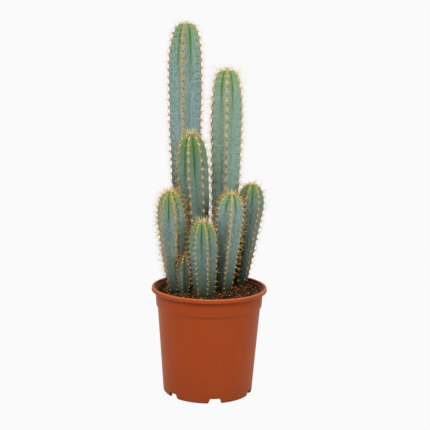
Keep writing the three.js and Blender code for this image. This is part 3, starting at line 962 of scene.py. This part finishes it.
# %% Spine finish and needles
SPINE_PALE = srgb(244, 228, 176)
SPINE_GOLD = srgb(236, 188, 88)
SPINE_BROWN = srgb(160, 102, 36)
NEEDLE_FACES = [[0, 1, 4, 3], [1, 2, 5, 4], [2, 0, 3, 5], [3, 4, 6], [4, 5, 6], [5, 3, 6], [0, 2, 1]]
NEEDLE_POINTS = 7
ALONG_NEEDLE = [0.0, 0, 0, 0.5, 0.5, 0.5, 1.0]
ROOT_DEPTH, MIDDLE_WIDTH = 0.5, 0.72


def make_spine_finish():
    spine = Finish("golden_spine", SPINE_GOLD, 0.45, ground=SPINE_PALE)
    spine.cover(spine.ramp("tone", 0.0, 0.55), SPINE_GOLD)
    spine.cover(spine.ramp("tone", 0.6, 1.0), SPINE_BROWN)
    spine.cover(spine.ramp("along", 0.35, 0.0, 0.3), SPINE_BROWN)
    spine.mottle(SPINE_PALE, 500, EVEN, 0.5, 0.7, 0.35)
    return spine.done()


SPINE = make_spine_finish()


def needles(root, direction, length, width, bend):
    level = np.where(np.abs(direction[:, 2:]) < 0.9, [[0.0, 0, 1]], [[1.0, 0, 0]])
    first = unit(np.cross(direction, level))
    second = np.cross(direction, first)
    middle = root + direction * (0.5 * length)[:, None] + bend
    points = np.empty((len(root), NEEDLE_POINTS, 3))
    for corner in range(3):
        turn = 2 * math.pi * corner / 3
        spread = first * math.cos(turn) + second * math.sin(turn)
        points[:, corner] = root - direction * ROOT_DEPTH + spread * width[:, None]
        points[:, 3 + corner] = middle + spread * (MIDDLE_WIDTH * width)[:, None]
    points[:, 6] = root + direction * length[:, None]
    return points


print("spine finish:", SPINE.name)

# %% [markdown]
# Each areole has a star of radial spines that lie close to the stem, a few longer central ones that stand
# out in all directions, and short hairs in the felt. Some columns have long thin whiskers as well. One
# function makes all four kinds: an even star, scattered a little by seeded chance. Near the tip and the
# foot fewer spines are kept, as the felt there hides them or they have worn off.

# %% Stars of spines
SPINE_WIDTH, CROWN_WIDTH, RADIAL_WIDTH, HAIR_WIDTH, WHISKER_WIDTH = 0.26, 0.24, 0.14, 0.12, 0.13
STAR_ROOT, ROOT_ASIDE, ROOT_SPREAD = 1.1, 0.7, 0.5
ANY_TURN, TURN_SCATTER, TONE_SCATTER = 6.28, 0.28, 0.2
CROWDED_TIP, LEAST_AT_TIP, LEAST_AT_FOOT = 16.0, 0.2, 0.3


def flat_way(areoles, index, turn):
    return np.cos(turn)[:, None] * areoles["up"][index] + np.sin(turn)[:, None] * areoles["aside"][index]


def pointing(areoles, index, lean, turn):
    flat = flat_way(areoles, index, turn)
    return unit(np.cos(lean)[:, None] * areoles["out"][index] + np.sin(lean)[:, None] * flat)


def star_of_spines(column, chance, number, leans, lengths, width, darker=0.0):
    areoles = column["areoles"]
    count = areoles["share"].size
    index = np.repeat(np.arange(count), number)
    total = index.size
    turn = np.tile(np.arange(number) * 2 * math.pi / number, count)
    turn = turn + np.repeat(chance.random(count) * ANY_TURN, number)
    turn = turn + chance.normal(0, TURN_SCATTER, total)
    lean = np.radians(chance.uniform(*leans, total))
    direction = pointing(areoles, index, lean, turn)
    spot = (ROOT_ASIDE + ROOT_SPREAD * chance.random(total)) * np.sin(lean)
    root = areoles["at"][index] + areoles["out"][index] * STAR_ROOT
    root = root + flat_way(areoles, index, turn) * spot[:, None]
    length = chance.uniform(*lengths, total) * column["spine_size"]
    length = length * (1 + column["young_growth"] * np.clip(areoles["young"][index] * 4 - 3, 0, 1))
    tone = np.clip(column["gold"] + darker + chance.normal(0, TONE_SCATTER, total), 0, 1)
    to_tip = np.linalg.norm(areoles["at"][index] - column["high"], axis=1)
    above = np.clip((areoles["at"][index, 2] - FLOOR_LEVEL) / OLD_BELOW, LEAST_AT_FOOT, 1)
    kept = chance.random(total) < np.clip(to_tip / CROWDED_TIP, LEAST_AT_TIP, 1) * above
    return tuple(part[kept] for part in (root, direction, length, np.full(total, width), tone))


print("radial spine, mm wide:", 2 * RADIAL_WIDTH)

# %% [markdown]
# Spines along the crest join areole to areole. The tuft at the tip is a bunch of upright spines and a crown
# of leaning ones, turned from one to the next by the golden angle, as plants grow, so that it is full from
# every side.

# %% Crest and tuft
CREST_ROOT, CREST_WIDTH = 1.0, RADIAL_WIDTH * 1.15
CREST_LEAN, CREST_SIZE, CREST_PALER = (68, 82), (0.45, 0.75), 0.3
TUFT_ROOT, TUFT_SCATTER, TUFT_TONE_SCATTER = 0.6, 0.25, 0.15
GOLDEN_ANGLE = math.pi * (3 - math.sqrt(5))


def spines_along_crest(column, chance):
    areoles = column["areoles"]
    index = np.repeat(np.arange(areoles["share"].size), column["crest_spines"])
    total = index.size
    turn = math.pi * np.floor(chance.random(total) * 1.5) + chance.normal(0, 0.2, total)
    lean = np.radians(chance.uniform(*CREST_LEAN, total))
    direction = pointing(areoles, index, lean, turn)
    root = areoles["at"][index] + areoles["out"][index] * CREST_ROOT
    length = chance.uniform(*CREST_SIZE, total) * column["pitch"]
    tone = np.clip(column["gold"] - CREST_PALER + chance.normal(0, 0.12, total), 0, 1)
    return root, direction, length, np.full(total, CREST_WIDTH), tone


def tuft_of_spines(column, chance, number, reach, leans, lengths, width):
    turn = np.arange(number) * GOLDEN_ANGLE + chance.normal(0, TUFT_SCATTER, number)
    along = section_frame(column, 1.0)[0]
    out = across(column, np.ones(number), turn)
    from_axis = reach * np.sqrt(chance.random(number))[:, None]
    root = column["high"] - TUFT_ROOT * along + out * from_axis
    lean = np.radians(chance.uniform(*leans, number))[:, None]
    direction = unit(np.cos(lean) * along + np.sin(lean) * out)
    length = column["tuft"] * chance.uniform(*lengths, number)
    tone = np.clip(column["tuft_gold"] + chance.normal(0, TUFT_TONE_SCATTER, number), 0, 1)
    return root, direction, length, np.full(number, width), tone


print("golden angle, degrees:", round(math.degrees(GOLDEN_ANGLE), 1))

# %% [markdown]
# The columns differ in their spines too: how many there are, how long and how golden. Sizes are in
# millimetres, but those of the bunch and the crown are shares of the tuft's height. Leans are in degrees.

# %% How the spines differ
give(
    gold=(0.25, 0.15, 0.55, 0.4, 0.35, 0.55, 0.7, 0.85),
    spine_size=(0.9, 0.9, 1, 1, 0.62, 1, 0.85, 0.7),
    young_growth=(0, 0.7) + (0.35,) * 6,  # how much longer near the tip
    radials=(8, 8, 8, 8, 7, 7, 7, 7),
    radial_size=((3.4, 7.0),) * 2 + ((3.0, 6.0),) * 2 + ((2.4, 4.6),) * 4,
    radial_brown=(0, 0) + (0.3,) * 6,
    whiskers=(5, 5, 0, 6, 0, 0, 1, 0),
    whisker_size=((9, 15), (10, 19)) + ((9, 15),) * 6,
    crest_spines=(4, 4, 2, 2, 1, 1, 3, 1),
    tuft=(9, 10, 14, 12, 14, 11, 7, 9),  # its height
    tuft_gold=(0.055, -0.015, 0.265, 0.16, 0.125, 0.265, 0.37, 0.85),
    bunch=(26, 26) + (30,) * 6,
    bunch_reach=(1.4, 1.4) + (2.8,) * 6,
    bunch_lean=((0, 9),) * 2 + ((0, 40),) * 6,
    bunch_size=((0.62, 0.95),) * 2 + ((0.25, 0.5),) * 6,
    crown=(6, 6, 32, 32, 28, 28, 28, 28),
    crown_lean=((20, 50),) * 2 + ((4, 70),) * 6,
)
print("gold of the spines:", {c["name"]: c["gold"] for c in COLUMNS})

# %% [markdown]
# Where two columns stand close, spines have broken off, and those that are left are stouter and darkened
# with painted shade. Near the foot all are browner. The needles of a column are made at once, shortened to
# the room that there is, and thinned out in the narrow gaps.

# %% Spines
CENTRALS, HAIRS = 3, 2
RADIAL_LEAN, CENTRAL_LEAN, HAIR_LEAN, WHISKER_LEAN = (60, 84), (14, 64), (5, 75), (30, 80)
CENTRAL_SIZE, HAIR_SIZE, CROWN_SIZE = (7.0, 12.0), (1.4, 2.2), (0.8, 1.1)
WHISKER_DARKER = 0.25
CROWN_REACH = 5.0
SHORTEST, ALWAYS_SHORT = 2.2, 3
# in narrow gaps: fewer spines, stouter ones, and painted shade on their tone
SQUEEZED_REACH, SQUEEZED_OFF, SQUEEZED_SHADE, SQUEEZED_STOUT = 5, 0.89, 0.15, 0.6
OLD_BROWN = 0.5
BEND = 0.045


def every_spine(column, chance):
    return [
        star_of_spines(column, chance, column["radials"], RADIAL_LEAN, column["radial_size"], RADIAL_WIDTH,
                       column["radial_brown"]),
        star_of_spines(column, chance, CENTRALS, CENTRAL_LEAN, CENTRAL_SIZE, SPINE_WIDTH),
        star_of_spines(column, chance, HAIRS, HAIR_LEAN, HAIR_SIZE, HAIR_WIDTH),
        star_of_spines(column, chance, column["whiskers"], WHISKER_LEAN, column["whisker_size"],
                       WHISKER_WIDTH, WHISKER_DARKER),
        spines_along_crest(column, chance),
        tuft_of_spines(column, chance, column["bunch"], column["bunch_reach"], column["bunch_lean"],
                       column["bunch_size"], SPINE_WIDTH),
        tuft_of_spines(column, chance, column["crown"], CROWN_REACH, column["crown_lean"], CROWN_SIZE,
                       CROWN_WIDTH),
    ]


def make_spines(column, seed):
    chance = np.random.default_rng(seed)
    groups = every_spine(column, chance)
    root, direction, length, width, tone = (np.concatenate(part) for part in zip(*groups))
    short = length < ALWAYS_SHORT
    length = fitted_lengths(column, root, direction, length)
    squeezed = closeness(column, root + direction * (0.5 * length)[:, None], SQUEEZED_REACH)
    kept = ((length > SHORTEST) | short) & (chance.random(len(root)) > SQUEEZED_OFF * squeezed)
    old = near(root[:, 2] - FLOOR_LEVEL, OLD_BELOW)
    # painted shade darkens the spines in narrow gaps; old ones near the foot are browner
    tone = tone + SQUEEZED_SHADE * squeezed * chance.random(len(root)) + OLD_BROWN * old
    width = width * (1 + SQUEEZED_STOUT * squeezed)
    root, direction, length, width, tone = (part[kept] for part in (root, direction, length, width, tone))
    bend = np.cross(direction, unit(chance.normal(0, 1, root.shape))) * (BEND * length)[:, None]
    points = needles(root, direction, length, width, bend).reshape(-1, 3)
    faces = copied_faces(NEEDLE_FACES, len(root), NEEDLE_POINTS)
    values = dict(along=np.tile(ALONG_NEEDLE, len(root)), tone=np.repeat(np.clip(tone, 0, 1), NEEDLE_POINTS))
    name = column["name"]
    return make_piece(name + "_spines", points, faces, SPINE, "cactus_skin", name, **values)


for number, column in enumerate(COLUMNS):
    column["spines"] = make_spines(column, 71 + number)
print("spine faces:", {c["name"]: len(c["spines"].data.polygons) for c in COLUMNS})

# %% [markdown]
# The potting mix is a closed body that fills the pot: a crumbly top over the plain sides and bottom that
# nobody sees. The top is a fine round grid. The mounds come from the measured model and the crumbs from
# noise at three sizes.

# %% Potting mix
MIX_TOP_RADIUS = 76.5
MIX_FOOT_RADIUS = 62.0
MIX_BOTTOM = 10.6
MIX_RINGS, MIX_SIDES, RING_SPREAD = 56, 220, 0.85
CRUMBS = [(9, 3.1, 1.1), (3.6, 8.4, 0.9), (1.7, 1.7, 0.6)]  # size, place in the noise, height
MIX_BLACK = srgb(22, 14, 8)
MIX_BROWN = srgb(70, 43, 24)


def make_mix_finish():
    mix = Finish("potting_mix", MIX_BLACK, 0.95)
    mix.mottle(MIX_BROWN, 260, EVEN, 0.45, 0.65, 0.9)
    mix.relief(900, 0.002, EVEN, 0.9)
    return mix.done({"Specular IOR Level": 0.1})


MIX = make_mix_finish()


def crumbly(x, y):
    def height(px, py):
        return sum(rise * noise.noise(Vector((px / size, py / size, place))) for size, place, rise in CRUMBS)

    return np.array([height(px, py) for px, py in zip(x, y)])


def make_mix():
    rings = np.linspace(0, 1, MIX_RINGS + 1)[1:] ** RING_SPREAD * MIX_TOP_RADIUS
    turns = np.linspace(0, 2 * math.pi, MIX_SIDES, endpoint=False)
    x = (rings[:, None] * np.cos(turns)).ravel()
    y = (rings[:, None] * np.sin(turns)).ravel()
    z = soil_height(x, y) + crumbly(x, y)
    grid = np.stack([x, y, z], axis=1).reshape(MIX_RINGS, MIX_SIDES, 3)[::-1]
    taper = MIX_FOOT_RADIUS / MIX_TOP_RADIUS
    foot = grid[0] * [taper, taper, 0] + [0, 0, MIX_BOTTOM]
    grid = np.concatenate([foot[None], grid])
    middle = float(soil_height(0.0, 0.0))
    points = np.concatenate([grid.reshape(-1, 3), [[0, 0, MIX_BOTTOM], [0, 0, middle]]])
    faces = capped_grid(*grid.shape[:2])
    return make_piece("potting_mix_body", points, faces, MIX, "potting_mix", "potting_mix")


mix = make_mix()
print("potting mix faces:", len(mix.data.polygons))

# %% [markdown]
# Bits lie on the mix: black crumbs, brown and orange chips of bark and a few pale fibres. One finish serves
# them all: each bit carries its kind as a value from 0 to 1, and the colours follow it.

# %% Bark finish
CHIP_BLACK = srgb(26, 17, 10)
CHIP_BROWN = srgb(114, 70, 40)
CHIP_ORANGE = srgb(158, 106, 60)
CHIP_PALE = srgb(192, 146, 94)


def make_chip_finish():
    chips = Finish("bark_chips", CHIP_BROWN, 0.9, ground=CHIP_BLACK)
    chips.cover(chips.ramp("kind", 0.1, 0.4), CHIP_BROWN)
    chips.cover(chips.ramp("kind", 0.45, 0.8), CHIP_ORANGE)
    chips.cover(chips.ramp("kind", 0.82, 0.92), CHIP_PALE)
    chips.mottle(CHIP_BROWN, 1100, EVEN, 0.5, 0.72, 0.3)
    chips.relief(1600, 0.0008, EVEN, 0.7)
    return chips.done({"Specular IOR Level": 0.1})


CHIP = make_chip_finish()
print("bark finish:", CHIP.name)

# %% [markdown]
# Each bit is a twenty-sided lump that is squeezed, stretched and turned by seeded chance, and lies where no
# stem stands. All of them are one mesh, as the pads are.

# %% Bark and crumbs
KINDS_OF_BIT = [  # how many, smallest, largest, flatness, range of tones from black to pale
    (2400, 0.5, 1.4, 0.75, (0, 0.34)),
    (420, 1.4, 2.6, 0.6, (0, 0.4)),
    (460, 0.8, 1.8, 0.45, (0.25, 0.7)),
    (60, 1.8, 3.0, 0.35, (0.4, 0.9)),
    (260, 0.8, 1.5, 0.45, (0.84, 1.0)),
]
LITTER_RADIUS = 73.5
FREE_OF_STEM = 0.3
TILT = 0.45
BIT_STRETCH, BIT_LUMPS = (0.65, 1.25), 0.2
ON_CRUMBS, HALF_SUNK = 0.8, 0.35


def lump_template():
    shape = bmesh.new()
    bmesh.ops.create_icosphere(shape, subdivisions=1, radius=1.0)
    shape.verts.ensure_lookup_table()
    points = np.array([vert.co[:] for vert in shape.verts])
    faces = [[vert.index for vert in face.verts] for face in shape.faces]
    shape.free()
    return points, faces


def random_turns(chance, count, tilt):
    spin = chance.random(count) * 2 * math.pi
    lean = chance.normal(0, tilt, count)
    roll = chance.normal(0, tilt, count)
    turns = []
    for a, b, c in zip(spin, lean, roll):
        turns.append(Matrix.Rotation(a, 3, "Z") @ Matrix.Rotation(b, 3, "X") @ Matrix.Rotation(c, 3, "Y"))
    return np.array([[list(row) for row in turn] for turn in turns])


def open_spots(chance, count, radius):
    reach = radius * np.sqrt(chance.random(count * 2))
    turn = chance.random(count * 2) * 2 * math.pi
    x, y = reach * np.cos(turn), reach * np.sin(turn)
    free = np.ones_like(x, bool)
    for column in COLUMNS:
        foot = column["foot"]
        free &= np.hypot(x - foot[0], y - foot[1]) > column["foot_radius"] + FREE_OF_STEM
    return x[free][:count], y[free][:count]


def make_litter(seed):
    chance = np.random.default_rng(seed)
    template, faces = lump_template()
    parts, kinds = [], []
    for count, smallest, largest, flatness, tones in KINDS_OF_BIT:
        x, y = open_spots(chance, count, LITTER_RADIUS)
        count = x.size
        size = chance.uniform(smallest, largest, count)[:, None]
        size = size * chance.uniform(*BIT_STRETCH, (count, 3))
        size[:, 2] *= flatness
        lumps = 1 + chance.normal(0, BIT_LUMPS, (count, len(template), 1))
        shapes = template[None] * lumps * size[:, None]
        turned = np.einsum("nij,nkj->nki", random_turns(chance, count, TILT), shapes)
        z = soil_height(x, y) + crumbly(x, y) * ON_CRUMBS + size[:, 2] * HALF_SUNK
        parts.append(turned + np.stack([x, y, z], axis=1)[:, None])
        kinds.append(np.repeat(chance.uniform(*tones, count), len(template)))
    points = np.concatenate(parts)
    all_faces = copied_faces(faces, len(points), len(template))
    litter = make_piece("bark_and_crumbs", points.reshape(-1, 3), all_faces, CHIP, "potting_mix",
                        "potting_mix", kind=np.concatenate(kinds))
    litter.data.shade_flat()
    return litter


litter = make_litter(91)
print("bark and crumb faces:", len(litter.data.polygons))

# %% [markdown]
# The pot is matt moulded plastic with a fine grain and faint clouds, worn in spots at the foot, with a
# painted highlight along the lip's top edge and painted shade towards the bottom of the wall. Seen edge-on
# its dusty face turns pale: the sheen of the shader gives that from every side. The inside is in deep shade.

# %% Pot finish
TERRACOTTA = srgb(156, 64, 23)
TERRACOTTA_LOW_SHADE_AND_GRAIN = srgb(150, 63, 26)
TERRACOTTA_SCUFF = srgb(166, 76, 40)
TERRACOTTA_DEEP = srgb(88, 30, 20)
TERRACOTTA_HIGHLIGHT = srgb(204, 122, 70)
INSIDE_SHADE = srgb(58, 13, 3)
POT_SHEEN = {"Sheen Weight": 0.48, "Sheen Roughness": 0.45, "Sheen Tint": srgb(216, 156, 118)}


def make_pot_finish():
    plastic = Finish("terracotta_plastic", TERRACOTTA, 0.38)
    # painted shade: the wall darkens towards the bottom
    plastic.cover(plastic.ramp("low", 0.0, 1.0), TERRACOTTA_LOW_SHADE_AND_GRAIN)
    plastic.mottle(TERRACOTTA_SCUFF, 22, (1, 1, 0.4), 0.45, 0.75, 0.35)
    plastic.mottle(TERRACOTTA_LOW_SHADE_AND_GRAIN, 1400, EVEN, 0.5, 0.68, 0.4)
    plastic.cover("foot", plastic.uneven(TERRACOTTA_SCUFF, TERRACOTTA_DEEP, 420, EVEN, 0.5, 0.62, 0.8))
    # painted highlight along the lip's top edge
    plastic.cover("lip", TERRACOTTA_HIGHLIGHT)
    plastic.cover("inside", INSIDE_SHADE)
    plastic.relief(1500, 0.0002, EVEN, 0.4)
    return plastic.done({"Specular IOR Level": 0.1, **POT_SHEEN})


TERRACOTTA_PLASTIC = make_pot_finish()
print("pot finish:", TERRACOTTA_PLASTIC.name)

# %% [markdown]
# The pot's wall is a turned profile, given as points of radius and height: a recessed floor, a foot ring, a
# tapered wall, a step out to a collar, and a rolled lip. Turning the profile in code gives even smooth
# rings, with close pairs of points where the moulding has a crisp edge.

# %% Pot profile
POT_SIDES = 192
FLOOR_UNDERSIDE, FLOOR_TOP = 8.4, 10.1
POT_OUTSIDE = [
    (58.0, 8.4), (60.2, 8.4), (60.6, 8.0), (60.8, 0.5), (61.2, 0.0), (62.6, 0.0), (63.2, 0.2), (64.5, 1.1),
    (65.5, 2.1), (66.0, 3.2), (66.2, 4.6), (66.8, 12.0), (67.85, 26.0), (70.3, 58.0), (72.75, 90.0),
    (74.85, 117.0), (75.7, 127.6), (75.9, 129.6), (76.1, 130.2), (76.8, 131.1), (77.5, 131.9), (77.9, 132.7),
    (78.15, 133.9), (78.6, 140.5), (79.15, 151.1), (79.3, 152.7), (79.7, 153.4), (80.7, 153.8),
]
POT_LIP = [
    (83.3, 154.1), (84.3, 154.3), (84.95, 154.8), (85.25, 155.4), (85.3, 156.0), (85.05, 156.8),
    (84.9, 157.5), (84.95, 158.3), (84.95, 158.9), (84.7, 159.5), (84.2, 160.0), (83.4, 160.4),
    (82.5, 160.5), (81.6, 160.35), (81.0, 159.9), (80.7, 159.1), (80.5, 157.9), (80.4, 156.9),
    (80.0, 156.3), (79.2, 155.8),
]
POT_INSIDE = [
    (77.9, 155.55), (77.6, 155.1), (77.5, 154.1), (77.1, 145.5), (76.55, 133.7), (76.4, 132.7), (74.8, 130.8),
    (74.3, 129.8), (73.1, 117.0), (68.6, 58.0), (65.05, 14.5), (64.6, 12.6), (63.9, 11.0), (63.0, 10.25),
    (58.0, 10.1),
]


def turned_pot():
    profile = np.array(POT_OUTSIDE + POT_LIP + POT_INSIDE)
    turns = np.linspace(0, 2 * math.pi, POT_SIDES, endpoint=False)
    radius, height = profile[:, :1], profile[:, 1:] + 0 * turns
    rings = np.stack([radius * np.cos(turns), radius * np.sin(turns), height], axis=-1)
    points = np.concatenate([rings.reshape(-1, 3), [[0, 0, FLOOR_UNDERSIDE], [0, 0, FLOOR_TOP]]])
    return points, capped_grid(*rings.shape[:2])


print("profile points:", len(POT_OUTSIDE + POT_LIP + POT_INSIDE))

# %% [markdown]
# Six notches in the foot ring let the water away under the pot, and six holes drain its floor. They are cut
# with a boolean, as a mould would leave them: a notch is a prism through the wall, and a hole is a prism
# with many sides through the floor.

# %% Notches and drainage holes
NOTCH_COUNT, FIRST_NOTCH, NOTCH_HEIGHT = 6, math.radians(10), 8.0
NOTCH_HALF_LOW, NOTCH_HALF_HIGH = 10.4, 7.5
NOTCH_OUTER, NOTCH_INNER = -72.0, -52.0
DRAIN_RADIUS, DRAIN_CIRCLE, DRAIN_SIDES = 4.5, 50.0, 28


def notch_cutter():
    corners = [(-NOTCH_HALF_LOW, -1), (NOTCH_HALF_LOW, -1), (NOTCH_HALF_HIGH, NOTCH_HEIGHT),
               (-NOTCH_HALF_HIGH, NOTCH_HEIGHT)]
    points = [(x, y, z) for y in (NOTCH_OUTER, NOTCH_INNER) for x, z in corners]
    return points, [[0, 1, 2, 3], [7, 6, 5, 4], [0, 4, 5, 1], [1, 5, 6, 2], [2, 6, 7, 3], [3, 7, 4, 0]]


def drain_cutter():
    turns = [2 * math.pi * side / DRAIN_SIDES for side in range(DRAIN_SIDES)]
    points = [(DRAIN_RADIUS * math.cos(turn), DRAIN_RADIUS * math.sin(turn) - DRAIN_CIRCLE, z)
              for z in (FLOOR_UNDERSIDE - 2, FLOOR_TOP + 2) for turn in turns]
    low = list(range(DRAIN_SIDES))
    onward = low[1:] + low[:1]
    faces = [[a, b, DRAIN_SIDES + b, DRAIN_SIDES + a] for a, b in zip(low, onward)]
    return points, faces + [low[::-1], [DRAIN_SIDES + a for a in low]]


def cutter_object():
    points, faces = [], []
    for number in range(NOTCH_COUNT):
        turn = Matrix.Rotation(FIRST_NOTCH + number * 2 * math.pi / NOTCH_COUNT, 3, "Z")
        for shape_points, shape_faces in (notch_cutter(), drain_cutter()):
            faces += [[corner + len(points) for corner in face] for face in shape_faces]
            points += [tuple(turn @ Vector(point)) for point in shape_points]
    mesh = bpy.data.meshes.new("pot_cutters")
    mesh.from_pydata((np.array(points) * MM).tolist(), [], faces)
    cutter = bpy.data.objects.new("pot_cutters", mesh)
    bpy.context.scene.collection.objects.link(cutter)
    return cutter


def cut_out(piece, cutter):
    cut = piece.modifiers.new("notches_and_drains", "BOOLEAN")
    cut.operation = "DIFFERENCE"
    cut.solver = "EXACT"
    cut.object = cutter
    finished = bpy.data.meshes.new_from_object(piece.evaluated_get(bpy.context.evaluated_depsgraph_get()))
    piece.modifiers.clear()
    piece.data = finished
    bpy.data.objects.remove(cutter)


print("cutters:", 2 * NOTCH_COUNT)

# %% [markdown]
# After the cut, each point of the pot's mesh is told where it lies: low on the wall, at the foot, on the
# lip's edge, or inside. The finish reads that: painted shade low on the wall and inside, wear at the foot,
# and a painted highlight on the lip's edge.

# %% Pot
# LOW_WALL: how high the painted shade on the wall reaches
LOW_WALL, FOOT_WORN, FOOT_WEAR = 60, 7, 0.5
INNER_WALL_RADIUS, INNER_WALL_LOW, INNER_WALL_SLOPE, WALL_MARGIN = 64.4, 12, 0.084, 0.9
FLOOR_LOW = 10
COLLAR_RADIUS, COLLAR_LOW = 78.0, 132.8
LIP_HOLLOW_RADIUS, LIP_HOLLOW_LOW, LIP_HOLLOW_HIGH = 80.75, 154.9, 159.3
LIP_EDGE, LIP_EDGE_HEIGHT, LIP_EDGE_RADIUS, LIP_HIGHLIGHT = 159.9, 0.7, 83.3, 0.55
CRISP_ANGLE = math.radians(42)


def pot_values(mesh):
    places = np.empty(len(mesh.vertices) * 3)
    mesh.vertices.foreach_get("co", places)
    places = places.reshape(-1, 3) / MM
    reach, z = np.hypot(places[:, 0], places[:, 1]), places[:, 2]
    inner_wall = INNER_WALL_RADIUS + (z - INNER_WALL_LOW) * INNER_WALL_SLOPE
    inside = (reach < inner_wall + WALL_MARGIN) & (z > FLOOR_LOW)
    inside |= (reach < COLLAR_RADIUS) & (z > COLLAR_LOW)
    inside |= (reach < LIP_HOLLOW_RADIUS) & (z > LIP_HOLLOW_LOW) & (z < LIP_HOLLOW_HIGH)
    # painted highlight: a band along the lip's top outer edge
    lip = LIP_HIGHLIGHT * hill((z - LIP_EDGE) / LIP_EDGE_HEIGHT) * (reach > LIP_EDGE_RADIUS)
    return dict(low=near(z, LOW_WALL), foot=near(z, FOOT_WORN) * FOOT_WEAR, inside=inside, lip=lip)


def make_pot():
    points, faces = turned_pot()
    pot = make_piece("nursery_pot", points, faces, TERRACOTTA_PLASTIC, "pot_plastic", "pot")
    cut_out(pot, cutter_object())
    store(pot.data, pot_values(pot.data))
    pot.data.shade_smooth()
    pot.data.set_sharp_from_angle(angle=CRISP_ANGLE)
    return pot


pot = make_pot()
print("pot faces:", len(pot.data.polygons))

# %% [markdown]
